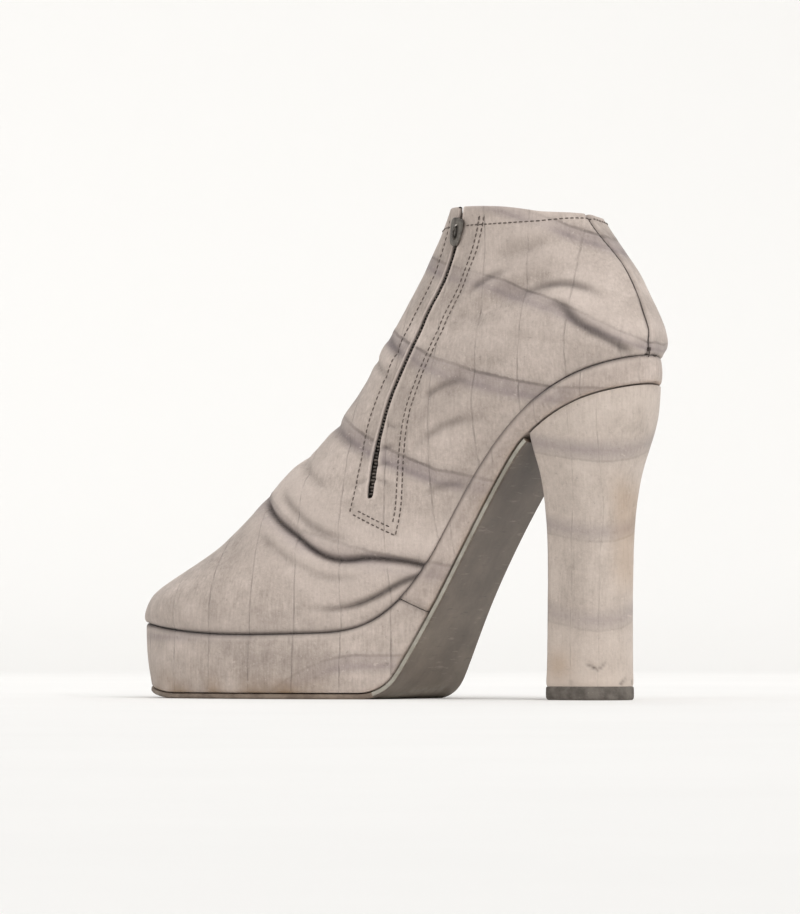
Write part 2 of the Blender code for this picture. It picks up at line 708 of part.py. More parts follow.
def build_heel(collection, finish):
    """Covered heel block, lofted from its tread to the seat."""
    under = under_curve()
    seat = lambda x: float(np.interp(x, under[:, 0], under[:, 1])) - FIT * 1.35
    levels = 1 - (1 - np.linspace(0, 1, HEEL_LAYERS)) ** 1.25
    mesh = rings_mesh("heel", heel_rings(levels, TOP_PIECE_THICK + FIT, seat))
    sharpen(mesh, 40)
    return new_object("heel", mesh, collection, finish)


def build_top_piece(collection, finish):
    """Rubber piece that the heel walks on."""
    row = list(HEEL[0])
    rings = []
    for height, grow in ((0.0, -0.25), (0.6, 0.1), (TOP_PIECE_THICK, 0.1)):
        now = list(row)
        now[1], now[2], now[3], now[4] = row[1] - grow, row[2] + grow, row[3] + grow, row[4] + grow
        ladder, angle = heel_section(now)
        ring = [(x, m) for x, m, _ in ladder] + [(x, l) for x, _, l in ladder[::-1]]
        rings.append([(x * math.cos(angle) - y * math.sin(angle), x * math.sin(angle) + y * math.cos(angle),
                       height) for x, y in ring])
    mesh = rings_mesh("top_piece", rings)
    sharpen(mesh, 35)
    return new_object("top_piece", mesh, collection, finish)


def main():
    for old in list(bpy.data.objects):
        bpy.data.objects.remove(old, do_unlink=True)
    boot = bpy.data.collections.new("platform_ankle_boot")
    cutters = bpy.data.collections.new("cutters")
    for group in (boot, cutters):
        bpy.context.scene.collection.children.link(group)
    leather = material("taupe_nubuck", "a89c92", 0.85)
    cover = material("taupe_cover_leather", "b5a99f", 0.75)
    heel_cover = material("heel_cover_leather", "c0b4a9", 0.75)
    sole = material("painted_sole", "857c70", 0.6)
    sock = material("sock_leather", "b7a48c", 0.7)
    rubber = material("heel_rubber", "3d3b3a", 0.8)
    cloth = material("zip_tape", "4a4440", 0.9)
    metal = material("zip_metal", "8c8780", 0.35, 1.0)
    last = Last()
    build_upper(last, boot, cutters, leather)
    build_insole(boot, sock)
    build_rand(boot, cover)
    build_platform(boot, cover)
    build_outsole(boot, sole)
    build_heel(boot, heel_cover)
    build_top_piece(boot, rubber)
    build_zip(last, boot, cloth)
    build_slider(last, boot, metal)


main()
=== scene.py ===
"""Looks of the right platform ankle boot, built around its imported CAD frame.

Frame: +X toward the toe, +Y toward the medial side, +Z up, floor at Z = 0, and
the origin in the middle of the heel's tread face.  Shapes are worked out in
millimetres from the same last as the CAD, and meshes are written in metres.
"""
import logging
import math
from dataclasses import dataclass, field
from enum import Enum

import bmesh
import bpy
import numpy as np
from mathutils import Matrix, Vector, noise

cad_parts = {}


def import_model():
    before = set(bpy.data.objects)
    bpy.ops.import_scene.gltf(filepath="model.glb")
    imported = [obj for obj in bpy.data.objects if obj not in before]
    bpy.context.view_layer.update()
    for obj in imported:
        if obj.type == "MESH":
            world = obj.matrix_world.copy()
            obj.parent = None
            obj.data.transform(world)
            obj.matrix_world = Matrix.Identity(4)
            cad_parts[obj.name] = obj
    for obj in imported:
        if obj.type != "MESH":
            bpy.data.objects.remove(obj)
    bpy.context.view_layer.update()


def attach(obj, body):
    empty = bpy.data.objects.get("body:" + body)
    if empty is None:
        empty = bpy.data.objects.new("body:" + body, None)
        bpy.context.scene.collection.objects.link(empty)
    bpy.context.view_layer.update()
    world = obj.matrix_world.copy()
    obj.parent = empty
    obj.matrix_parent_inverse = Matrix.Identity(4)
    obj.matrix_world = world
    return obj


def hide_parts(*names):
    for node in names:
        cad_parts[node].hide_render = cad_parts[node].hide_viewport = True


log = logging.getLogger("ankle_boot")

MM = 0.001

# ---- Driving dimensions, millimetres, as in the CAD --------------------------
LAST_LENGTH = 216.0      # level length of the feather line, heel back to toe tip
HEEL_BACK = -24.0        # where the feather line starts, behind the heel's middle
BALL_WIDTH = 78.0        # width of the feather line at the ball
SEAT_HEIGHT = 126.6      # feather line above the floor at the heel's back
COLLAR_HEIGHT = 185.0    # front of the collar above the floor
WALL = 1.8               # leather and lining of the upper together
FIT = 0.35               # gap kept between pieces that touch
OUTSOLE_THICK = 2.0
INSOLE_THICK = 2.0
SEAT_THICK = 10.2        # covered board and rand over the heel
RAND_OVERHANG = 1.4      # rand stands proud of the upper
WRAP_OVERHANG = 0.7      # platform cover stands proud of the upper
TOP_PIECE_THICK = 5.0
FLOOR_GAP = 0.02         # what lies on the floor stays this far above it
HEEL_TURN = -8.0         # degrees the heel is turned in plan
SEAM_ALONG = 0.4375      # rand meets platform cover, fraction of LAST_LENGTH
TIP_X = 190.8            # toe tip of the outsole
TOE_START = 160.0        # ahead of this X the outsole's plan closes up to that tip
EDGE_POINTS = 600        # points along each plan edge

# Feather line from the side: along, height (of LAST_LENGTH, SEAT_HEIGHT)
FEATHER = [
    (0.000, 1.000), (0.097, 0.948), (0.213, 0.825), (0.319, 0.612), (0.407, 0.367),
    (0.486, 0.233), (0.588, 0.197), (0.792, 0.197), (1.000, 0.233),
]
# Feather line in plan: along, across (of LAST_LENGTH, BALL_WIDTH)
MEDIAL_EDGE = [
    (0.000, 0.013), (0.013, 0.122), (0.049, 0.218), (0.102, 0.269), (0.204, 0.267),
    (0.319, 0.231), (0.421, 0.263), (0.523, 0.359), (0.625, 0.423), (0.718, 0.444),
    (0.810, 0.421), (0.894, 0.350), (0.954, 0.241), (0.990, 0.141), (1.000, 0.051),
]
LATERAL_EDGE = [
    (0.000, 0.013), (0.008, -0.090), (0.039, -0.205), (0.097, -0.290), (0.204, -0.333),
    (0.319, -0.340), (0.421, -0.410), (0.523, -0.506), (0.606, -0.549), (0.681, -0.538),
    (0.773, -0.471), (0.856, -0.356), (0.931, -0.199), (0.983, -0.045), (1.000, 0.051),
]
# Outsole's edge inside the feather line: along, millimetres medial and lateral
SOLE_INSET = [
    (0.201, 3.4, 1.5), (0.255, 3.2, 2.0), (0.319, 2.4, 2.5), (0.375, 2.3, 2.9),
    (0.431, 1.3, 1.7), (0.486, 0.5, 1.5), (0.546, 0.3, 1.2), (0.620, 0.1, 1.2),
    (0.713, 0.4, -0.3), (0.850, 0.4, 0.4), (1.000, 0.4, 0.4),
]
# Lower face of the outsole from the side, millimetres: waist, roll and tread
WAIST_BEZIER = [(19.5, 95.0), (30.5, 86.0), (56.0, 37.0), (71.5, 9.0)]
ROLL_CENTRE_X, ROLL_RADIUS, ROLL_ANGLE = 86.0, 16.0, 62.0
TREAD_END, TOE_SPRING = 166.0, 3.0

# Last above the ankle, collar first: back (along, height of COLLAR_HEIGHT), front
# (same), middle and swell to each side (of BALL_WIDTH), widest place, fullness
ANKLE = [
    (0.120, 0.976, 0.398, 1.000, -0.064, 0.282, 0.359, 0.500, 2.000),
    (0.088, 0.924, 0.417, 0.951, -0.058, 0.269, 0.365, 0.440, 2.000),
    (0.046, 0.857, 0.440, 0.892, -0.038, 0.263, 0.378, 0.380, 2.100),
    (0.009, 0.773, 0.465, 0.832, -0.013, 0.288, 0.385, 0.320, 2.100),
    (0.000, 0.684, 0.491, 0.773, 0.008, 0.308, 0.385, 0.280, 2.100),
]
# Last from seat to toe: foot along, ridge (along, height), then as above
FOOT = [
    (0.083, 0.530, 0.695, 0.010, 0.199, 0.256, 0.300, 2.100),
    (0.185, 0.572, 0.619, 0.008, 0.186, 0.237, 0.320, 2.000),
    (0.278, 0.618, 0.554, 0.003, 0.212, 0.244, 0.340, 1.950),
    (0.352, 0.662, 0.508, 0.000, 0.241, 0.244, 0.350, 1.900),
    (0.412, 0.702, 0.479, 0.000, 0.256, 0.231, 0.350, 1.900),
    (0.468, 0.735, 0.443, 0.003, 0.224, 0.205, 0.340, 1.950),
    (0.532, 0.768, 0.403, 0.006, 0.176, 0.167, 0.330, 2.000),
    (0.611, 0.803, 0.360, 0.013, 0.127, 0.128, 0.300, 2.000),
    (0.704, 0.847, 0.316, 0.023, 0.078, 0.100, 0.280, 2.000),
    (0.801, 0.903, 0.276, 0.033, 0.055, 0.075, 0.260, 1.900),
    (0.903, 0.960, 0.237, 0.046, 0.038, 0.050, 0.240, 1.850),
    (0.968, 0.993, 0.200, 0.050, 0.020, 0.026, 0.240, 1.850),
    (1.000, 1.000, 0.159, 0.051, 0.000, 0.000, 0.280, 2.300),
]
# Heel block: level, then millimetres back, breast, half width, half width at the
# breast, middle, roundness and share of the turn
HEEL = [
    (0.00, -13.45, 13.45, 13.9, 13.5, 0.0, 2.30, 1.00),
    (0.26, -13.35, 13.05, 13.5, 13.1, 0.0, 2.30, 1.00),
    (0.48, -13.9, 12.9, 13.8, 13.2, 0.0, 2.30, 1.00),
    (0.62, -14.9, 13.2, 14.6, 13.6, -0.2, 2.28, 0.90),
    (0.71, -16.8, 13.8, 15.8, 14.2, -0.3, 2.24, 0.72),
    (0.80, -20.0, 14.9, 17.6, 15.2, -0.5, 2.18, 0.46),
    (0.89, -23.0, 16.6, 19.8, 16.7, -0.8, 2.12, 0.20),
    (0.95, -23.9, 17.9, 20.9, 17.8, -1.1, 2.08, 0.07),
    (1.00, -24.1, 18.9, 21.4, 18.6, -1.4, 2.06, 0.00),
]
# Zip line on the medial side, bottom end first (of LAST_LENGTH, COLLAR_HEIGHT)
ZIP_LINE = [
    (0.487, 0.403), (0.484, 0.465), (0.477, 0.530), (0.461, 0.605),
    (0.431, 0.697), (0.396, 0.789), (0.363, 0.881), (0.338, 0.995),
]

# ---- Printed checks and bands of the hide ------------------------------------
CHECK_PITCH = 18.4       # between the embossed upright lines
CHECK_START = 38.7       # X of one of them
BAND_PITCH = 33.0        # between the printed level bands
# Heights of the printed bands at stations along the shoe, lowest band first
BAND_STATIONS = (-24.0, 5.0, 30.0, 55.0, 80.0, 110.0, 140.0, 192.0)
BAND_HEIGHTS = [
    (-18.0, -4.0, 6.0, 11.0, 15.0, 18.5, 22.0, 27.0),
    (22.0, 35.0, 44.0, 50.5, 55.3, 63.0, 83.0, 133.0),
    (76.0, 78.0, 80.3, 85.8, 96.0, 112.0, 135.0, 180.0),
    (113.5, 114.5, 119.6, 127.0, 139.0, 155.0, 175.0, 215.0),
    (131.0, 146.0, 156.0, 163.0, 172.0, 188.0, 205.0, 240.0),
    (164.0, 175.0, 185.0, 193.0, 203.0, 215.0, 230.0, 260.0),
    (198.0, 207.0, 215.0, 223.0, 233.0, 245.0, 260.0, 290.0),
]


class Side(Enum):
    """Side of the shoe, by the sign of Y."""

    MEDIAL = 1
    LATERAL = -1
    BOTH = 0


# ---- Curves --------------------------------------------------------------------
def spline(knots: np.ndarray, values: np.ndarray, at: np.ndarray) -> np.ndarray:
    """Natural cubic through (knots, values), read at the given places."""
    knots, values, at = (np.asarray(a, float) for a in (knots, values, at))
    count, step = len(knots), np.diff(knots)
    system, right = np.eye(count), np.zeros(count)
    for i in range(1, count - 1):
        system[i, i - 1:i + 2] = step[i - 1], 2 * (step[i - 1] + step[i]), step[i]
        right[i] = 6 * ((values[i + 1] - values[i]) / step[i]
                        - (values[i] - values[i - 1]) / step[i - 1])
    bend = np.linalg.solve(system, right)
    i = np.clip(np.searchsorted(knots, at) - 1, 0, count - 2)
    t, h = at - knots[i], step[i]
    slope = (values[i + 1] - values[i]) / h - h * (2 * bend[i] + bend[i + 1]) / 6
    growth = (bend[i + 1] - bend[i]) / (6 * h)
    return values[i] + slope * t + bend[i] / 2 * t ** 2 + growth * t ** 3


def lengths(points: np.ndarray) -> np.ndarray:
    """Running length along a polyline."""
    steps = np.sqrt((np.diff(points, axis=0) ** 2).sum(axis=1))
    return np.concatenate([[0.0], np.cumsum(steps)])


def read_rows(at: np.ndarray, run: np.ndarray, rows: np.ndarray) -> np.ndarray:
    """Rows of points read at running lengths."""
    return np.column_stack([np.interp(at, run, column) for column in rows.T])


def spline_rows(run: np.ndarray, rows: np.ndarray, at: np.ndarray) -> np.ndarray:
    """Rows of values read at running lengths, along natural cubics."""
    return np.column_stack([spline(run, column, at) for column in rows.T])


def resample(points: np.ndarray, fractions: np.ndarray) -> np.ndarray:
    """Points of a polyline at fractions of its length."""
    run = lengths(points)
    return read_rows(np.asarray(fractions) * run[-1], run, points)


def rounded_line(knots: np.ndarray, count: int) -> np.ndarray:
    """Smooth curve through a few 2-D points, at even spacing."""
    knots = np.asarray(knots, float)
    run = lengths(knots)
    curve = spline_rows(run, knots, np.linspace(0, run[-1], max(count * 3, 60)))
    return resample(curve, np.linspace(0, 1, count))


def offset_curve(points: np.ndarray, distance: float) -> np.ndarray:
    """A side-view or plan polyline moved to its left by distance."""
    along = unit(np.gradient(points, axis=0))
    return points + distance * np.column_stack([-along[:, 1], along[:, 0]])


def smooth(t: np.ndarray) -> np.ndarray:
    """Soft step from 0 to 1."""
    t = np.clip(t, 0.0, 1.0)
    return t * t * (3 - 2 * t)


def bell(far: np.ndarray) -> np.ndarray:
    """Soft bump of height 1 at 0, of which little is left at 2."""
    return np.exp(-far ** 2)


def eased(count: int) -> np.ndarray:
    """Fractions from 0 to 1, closer together toward both ends."""
    return (1 - np.cos(np.pi * np.linspace(0, 1, count))) / 2


def unit(vectors: np.ndarray) -> np.ndarray:
    """Vectors scaled to length 1."""
    return vectors / np.maximum(np.linalg.norm(vectors, axis=-1, keepdims=True), 1e-12)


def x_at(along: float | np.ndarray) -> float | np.ndarray:
    """X of a fraction of the last's length."""
    return HEEL_BACK + np.asarray(along) * LAST_LENGTH


def feather_z(x: np.ndarray) -> np.ndarray:
    """Height of the feather line over the floor."""
    table = np.array(FEATHER)
    return spline(x_at(table[:, 0]), table[:, 1] * SEAT_HEIGHT, x)


def feather_curve(distance: float = 0.0, count: int = 400, before: float = 0.0,
                  after: float = 0.0) -> np.ndarray:
    """Feather line from the side, moved up (+) or down (-) square to itself."""
    x = np.linspace(HEEL_BACK - before, HEEL_BACK + LAST_LENGTH + after, count)
    return offset_curve(np.column_stack([x, feather_z(x)]), distance)


def plan_outline(outset: float = 0.0) -> list[np.ndarray]:
    """Feather line in plan: medial and lateral edges, heel back to toe tip."""
    medial, lateral = np.array(MEDIAL_EDGE), np.array(LATERAL_EDGE)
    ring = np.vstack([medial, lateral[::-1][1:-1]])
    ring = np.column_stack([x_at(ring[:, 0]), ring[:, 1] * BALL_WIDTH])
    triple = np.vstack([ring, ring, ring])
    run, size = lengths(triple), len(ring)
    start, tip, end = run[size], run[size + len(medial) - 1], run[2 * size]
    edges = []
    for first, sign in ((start, 1.0), (end, -1.0)):
        edge = spline_rows(run, triple, np.linspace(first, tip, EDGE_POINTS * 4))
        edge = offset_curve(edge, sign * outset) if outset else edge
        edges.append(resample(edge, np.linspace(0, 1, EDGE_POINTS)))
    return edges


def read_edge(edge: np.ndarray, x: np.ndarray) -> np.ndarray:
    """Y of a plan edge at any X."""
    rising = np.maximum.accumulate(edge[:, 0]) + np.arange(len(edge)) * 1e-9
    return np.interp(x, rising, edge[:, 1])


def sole_edges(x: np.ndarray, outset: float = 0.0) -> tuple[np.ndarray, np.ndarray]:
    """Medial and lateral Y of the outsole's edge at each X."""
    table = np.array(SOLE_INSET)
    medial, lateral = plan_outline()
    tip = medial[-1, 0]
    ahead = np.clip((x - TOE_START) / (TIP_X - TOE_START), 0, 1.1)
    at = x + (tip - TIP_X) * ahead ** 2
    inset = [spline(x_at(table[:, 0]), table[:, k], x) - outset for k in (1, 2)]
    fade = np.sqrt(np.clip((TIP_X + outset - x) / 3.0, 0, 1))
    return read_edge(medial, at) - inset[0] * fade, read_edge(lateral, at) + inset[1] * fade


def sole_curve() -> np.ndarray:
    """Lower face of the outsole from the side, breast to toe tip."""
    t = np.linspace(0, 1, 80)[:, None]
    a, b, c, d = (np.array(p, float) for p in WAIST_BEZIER)
    waist = (1 - t) ** 3 * a + 3 * (1 - t) ** 2 * t * b + 3 * (1 - t) * t ** 2 * c + t ** 3 * d
    turn = np.radians(np.linspace(ROLL_ANGLE, 0, 24))
    roll = np.column_stack([ROLL_CENTRE_X - ROLL_RADIUS * np.sin(turn),
                            ROLL_RADIUS * (1 - np.cos(turn))])
    flat_x = np.linspace(ROLL_CENTRE_X, TREAD_END, 60)
    tip_x = np.linspace(TREAD_END, TIP_X, 16)
    rise = TOE_SPRING * ((tip_x - TREAD_END) / (TIP_X - TREAD_END)) ** 2
    return np.vstack([waist[:-1], roll, np.column_stack([flat_x, 0 * flat_x])[1:],
                      np.column_stack([tip_x, rise])[1:]])


def zip_points(fractions: np.ndarray) -> np.ndarray:
    """Side-view points of the zip line."""
    table = np.array(ZIP_LINE)
    knots = np.column_stack([x_at(table[:, 0]), table[:, 1] * COLLAR_HEIGHT])
    return resample(rounded_line(knots, 200), fractions)


def from_line(points: np.ndarray, line: np.ndarray) -> tuple[np.ndarray, np.ndarray]:
    """Distance of points to a polyline.

    Args:
        points: (n, 2) or (n, 3) points.
        line: Points of the polyline.

    Returns:
        The distance, in 2-D positive to the left of the line, and the fraction
        of the line's length at which each point's foot lies.
    """
    line = np.asarray(line, float)
    run = lengths(line)
    best, where = np.full(len(points), np.inf), np.zeros(len(points))
    sign = np.ones(len(points))
    for k in range(len(line) - 1):
        step = line[k + 1] - line[k]
        t = np.clip(((points - line[k]) @ step) / (step @ step), 0, 1)
        gap = points - line[k] - t[:, None] * step
        far = np.linalg.norm(gap, axis=1)
        near = far < best
        best[near] = far[near]
        where[near] = (run[k] + t[near] * (run[k + 1] - run[k])) / run[-1]
        if points.shape[1] == 2:
            sign[near] = np.where(step[0] * gap[near, 1] - step[1] * gap[near, 0] >= 0, 1.0, -1.0)
    return best * sign, where


def unevenness(points: np.ndarray, size: float, seed: float = 0.0) -> np.ndarray:
    """Smooth noise from -1 to 1 with lumps of the given size in millimetres."""
    shift = Vector((seed, seed * 1.7, seed * 0.6))
    return np.array([noise.noise(Vector(p) / size + shift) for p in points])


# ---- The last ------------------------------------------------------------------
class Last:
    """The foot form: gives the upper's surface from a side-view position."""

    SAMPLES = 900
    RIDGE_LAG = 1.25         # rows lie lower on the ridge than at the back

    def __init__(self) -> None:
        """Reads the section tables."""
        rows = []
        for row in np.array(ANKLE):
            rows.append([x_at(row[0]), row[1] * COLLAR_HEIGHT, x_at(row[2]),
                         row[3] * COLLAR_HEIGHT, *(row[4:7] * BALL_WIDTH), *row[7:]])
        for row in np.array(FOOT):
            x = x_at(row[0])
            rows.append([x, float(feather_z(x)), x_at(row[1]), row[2] * COLLAR_HEIGHT,
                         *(row[3:6] * BALL_WIDTH), *row[6:]])
        rows = np.array(rows)
        low = np.hypot(*np.diff(rows[:, 0:2], axis=0).T)
        high = np.hypot(*np.diff(rows[:, 2:4], axis=0).T)
        run = np.concatenate([[0.0], np.cumsum(np.maximum(low, high))])
        u = np.linspace(0, run[-1], self.SAMPLES)
        self.table = spline_rows(run, rows, u)
        self.seat = int(np.searchsorted(u, run[len(ANKLE) - 1]))
        self.table[self.seat:, 1] = feather_z(self.table[self.seat:, 0])
        self.medial, self.lateral = plan_outline()
        below = np.arange(self.SAMPLES) >= self.seat
        x, middle = self.table[:, 0], self.table[:, 4]
        self.low_medial = np.where(below, read_edge(self.medial, x) - middle, 0).clip(min=0)
        self.low_lateral = np.where(below, middle - read_edge(self.lateral, x), 0).clip(min=0)

    def across(self, x: float, z: float, side: int) -> float:
        """Y of the surface at a side-view point; side is +1 medial, -1 lateral."""
        low, line = self.table[:, 0:2], self.table[:, 2:4] - self.table[:, 0:2]
        over = line[:, 0] * (z - low[:, 1]) - line[:, 1] * (x - low[:, 0])
        hits = np.nonzero((over[:-1] <= 0) & (over[1:] > 0))[0]
        if len(hits):
            i = hits[0]
            f = -over[i] / (over[i + 1] - over[i])
        else:
            i, f = (0, 0.0) if over[0] > 0 else (self.SAMPLES - 2, 1.0)
        row = self.table[i] * (1 - f) + self.table[i + 1] * f
        rise = row[2:4] - row[0:2]
        h = ((x - row[0]) * rise[0] + (z - row[1]) * rise[1]) / max(rise @ rise, 1e-9)
        h = min(max(h, 0.0), 1.0)
        foot = self.low_medial if side > 0 else self.low_lateral
        foot = foot[i] * (1 - f) + foot[i + 1] * f
        swell = row[5] if side > 0 else row[6]
        half = math.sqrt(foot ** 2 + swell ** 2 * (1 - (1 - min(h / row[7], 1.0)) ** 2))
        if h > row[7]:
            half *= math.sqrt(max(1 - ((h - row[7]) / (1 - row[7])) ** row[8], 0.0))
        return row[4] + side * half

    def point(self, x: float, z: float, side: int = 1) -> np.ndarray:
        """Surface point at a side-view position."""
        return np.array([x, self.across(x, z, side), z])

    def frame(self, x: float, z: float, side: int = 1,
              step: float = 0.6) -> tuple[np.ndarray, np.ndarray]:
        """Surface point and outward normal."""
        dx = self.point(x + step, z, side) - self.point(x - step, z, side)
        dz = self.point(x, z + step, side) - self.point(x, z - step, side)
        normal = np.cross(dz, dx) * side
        return self.point(x, z, side), normal / np.linalg.norm(normal)

    def side_view(self, side: int, s: np.ndarray, v: float) -> tuple[np.ndarray, np.ndarray]:
        """Side-view points of one row of the upper.

        Args:
            side: +1 medial, -1 lateral.
            s: Fractions along the row, back to ridge.
            v: Height of the row, feather line 0 to collar 1.

        Returns:
            (n, 2) side-view points, and Y of the feather line at the same s.
        """
        a = (1 - np.cos(np.pi * s[:, None])) / 2
        back_line, ridge_line = self.table[:self.seat + 1, 0:2][::-1], self.table[:, 2:4][::-1]
        back, ridge = resample(back_line, [v])[0], resample(ridge_line, [v ** self.RIDGE_LAG])[0]
        plan = resample(self.medial if side > 0 else self.lateral, np.concatenate([[0, 1], s]))
        foot = np.column_stack([plan[:, 0], feather_z(plan[:, 0])])
        top = back_line[-1] + (ridge_line[-1] - back_line[-1]) * a
        corners = ((1 - a) * (1 - v) * foot[0] + a * (1 - v) * foot[1]
                   + (1 - a) * v * back_line[-1] + a * v * ridge_line[-1])
        places = (1 - v) * foot[2:] + v * top + (1 - a) * back + a * ridge - corners
        return places, plan[2:, 1]

    def row(self, side: int, s: np.ndarray, v: float) -> np.ndarray:
        """Surface points of one row of the upper."""
        places, edge = self.side_view(side, s, v)
        if v == 0:
            return np.column_stack([places[:, 0], edge, places[:, 1]])
        return np.array([self.point(x, z, side) for x, z in places])


# ---- Relief: creases and folds, listed one by one --------------------------------
@dataclass(frozen=True)
class Fold:
    """A soft trough along a side-view line, with puffed leather beside it.

    The line runs back to front in thousandths of LAST_LENGTH and COLLAR_HEIGHT,
    the tails are fractions of its length and the rest is in millimetres.
    """

    line: tuple[tuple[int, int], ...]
    depth: float
    width: float
    above: float = 0.0
    below: float = 0.0
    reach: float = 5.0
    side: Side = Side.MEDIAL
    tail: tuple[float, float] = (0.15, 0.15)

    def height(self, places: np.ndarray) -> tuple[np.ndarray, np.ndarray]:
        """Height over the plain surface and painted shade of the trough at side-view points."""
        line = np.array(self.line) / 1000
        line = rounded_line(np.column_stack([x_at(line[:, 0]), line[:, 1] * COLLAR_HEIGHT]), 24)
        far, where = from_line(places, line)
        ends = np.ones_like(where)
        for size, run in zip(self.tail, (where, 1 - where)):
            ends = ends * (smooth(run / size) if size else 1.0)
        trough = bell(far / self.width)
        t = np.abs(far) / self.reach
        puff = t * np.exp(1 - t) * bell(np.maximum(t - 2.5, 0))
        puff *= np.where(far > 0, self.above, self.below)
        # the trough's darkness is painted shade, strongest in narrow, deep creases
        trough_shade = min(self.depth, 1.0) * min(1.6 / self.width, 1.0) ** 3
        return (puff - self.depth * trough) * ends, trough * ends * trough_shade


FLEX_LINE = ((372, 262), (392, 270), (421, 278), (455, 283), (492, 285), (527, 281), (573, 292),
             (630, 332), (667, 357), (710, 392), (752, 428))
FOLDS = [
    # deep flex crease across the vamp, ridge to feather line
    Fold(FLEX_LINE, 1.9, 1.15, 1.5, 1.25, 6.0, Side.BOTH, (0.0, 0.12)),
    # second fold, low along the platform cover, under a broad soft roll
    Fold(((400, 252), (428, 240), (459, 219), (490, 200), (528, 186), (568, 182), (620, 186)),
         1.1, 1.15, 1.2, 0.5, 4.6, tail=(0.0, 0.6)),
    Fold(((470, 262), (520, 245), (585, 252), (640, 276)), 0.3, 1.6, 0.2, 0.2, 4.0,
         tail=(0.5, 0.5)),
    Fold(((560, 250), (620, 272), (680, 312), (735, 352)), 0.35, 1.8, 0.4, 0.2, 4.5,
         tail=(0.4, 0.3)),
    Fold(((500, 320), (560, 332), (622, 368), (690, 430)), 0.55, 1.7, 0.5, 0.5, 5.0, Side.BOTH,
         (0.4, 0.2)),
    # bumps where the instep flexes
    Fold(((560, 420), (610, 446), (668, 498)), 0.6, 2.2, 0.6, 0.6, 5.5, Side.BOTH, (0.35, 0.1)),
    Fold(((520, 500), (560, 530), (610, 570)), 0.7, 2.6, 0.7, 0.5, 6.0, Side.BOTH, (0.35, 0.1)),
    # slack shaft: flared leather over the stiff counter
    Fold(((12, 684), (52, 717), (102, 755), (133, 783), (163, 777)), 0.9, 1.5, 1.5, 0.2, 5.0,
         Side.BOTH, (0.1, 0.35)),
    Fold(((90, 865), (170, 840), (250, 800), (330, 745)), 1.5, 5.5, 0.8, 0.8, 11.0,
         tail=(0.3, 0.3)),
    Fold(((120, 930), (200, 905), (290, 880)), 0.8, 3.5, 0.6, 0.4, 7.0, tail=(0.4, 0.4)),
    Fold(((200, 690), (290, 655), (380, 590)), 1.0, 5.0, 0.5, 0.5, 9.0, tail=(0.4, 0.4)),
    Fold(((255, 745), (300, 765), (345, 772)), 0.5, 2.2, 0.4, 0.3, 4.0, tail=(0.4, 0.3)),
    Fold(((55, 792), (110, 822), (172, 822), (240, 795)), 0.8, 1.5, 0.9, 0.4, 4.5,
         tail=(0.3, 0.5)),
    Fold(((215, 862), (262, 850), (318, 812)), 0.55, 1.3, 0.5, 0.3, 3.5, tail=(0.5, 0.3)),
    Fold(((285, 640), (335, 634), (392, 600)), 0.6, 1.2, 0.6, 0.3, 3.5, tail=(0.5, 0.25)),
    Fold(((235, 552), (300, 560), (372, 532), (420, 490)), 0.45, 1.6, 0.5, 0.4, 5.0,
         tail=(0.5, 0.4)),
    Fold(((300, 430), (350, 428), (400, 400)), 0.4, 1.5, 0.4, 0.3, 4.0, tail=(0.5, 0.4)),
    # front of the ankle
    Fold(((440, 690), (466, 712), (500, 745)), 0.7, 1.8, 0.6, 0.4, 5.0, Side.BOTH, (0.4, 0.1)),
    Fold(((455, 640), (490, 668), (530, 700)), 0.45, 1.4, 0.4, 0.3, 4.0, Side.BOTH, (0.5, 0.1)),
    # heel-side flap of the slot bulges, with short wrinkles at its foot
    Fold(((438, 428), (462, 440), (480, 446)), 0.35, 0.8, 0.25, 0.2, 1.8, tail=(0.5, 0.1)),
    Fold(((440, 470), (460, 476), (478, 474)), 0.35, 0.8, 0.25, 0.2, 1.8, tail=(0.5, 0.1)),
    Fold(((436, 512), (456, 510), (473, 504)), 0.4, 0.8, 0.3, 0.2, 1.8, tail=(0.5, 0.1)),
    Fold(((428, 548), (448, 552), (464, 558)), 0.35, 0.9, 0.3, 0.2, 2.0, tail=(0.5, 0.1)),
    Fold(((492, 446), (508, 440), (530, 428)), 0.3, 0.8, 0.2, 0.2, 2.0, tail=(0.1, 0.5)),
    # lateral side
    Fold(((400, 262), (452, 232), (505, 200), (560, 178)), 0.9, 1.5, 0.8, 0.4, 4.5, Side.LATERAL,
         (0.05, 0.3)),
    Fold(((180, 700), (270, 680), (360, 620), (430, 560)), 1.2, 5.0, 0.7, 0.6, 9.0, Side.LATERAL,
         (0.3, 0.3)),
    Fold(((110, 860), (200, 850), (300, 810)), 1.2, 4.5, 0.8, 0.7, 9.0, Side.LATERAL, (0.4, 0.3)),
    Fold(((330, 420), (400, 440), (480, 430)), 0.6, 3.0, 0.5, 0.5, 6.0, Side.LATERAL, (0.4, 0.4)),
]

# Stitch rows of the placket, side-view millimetres, bottom first
REAR_ROW = [(70.3, 61.2), (68.6, 69.0), (68.0, 76.7), (67.4, 92.7), (63.9, 112.0), (57.4, 129.0),
            (49.9, 146.0), (42.9, 163.0), (37.6, 181.0)]
FRONT_ROW = [(89.2, 69.9), (88.4, 76.0), (86.8, 91.5), (86.3, 98.0), (82.8, 112.0), (76.3, 129.0),
             (68.8, 146.0), (61.8, 163.0), (56.9, 181.0)]
FOOT_ROW = [(70.3, 61.2), (78.5, 64.9), (89.2, 69.9)]


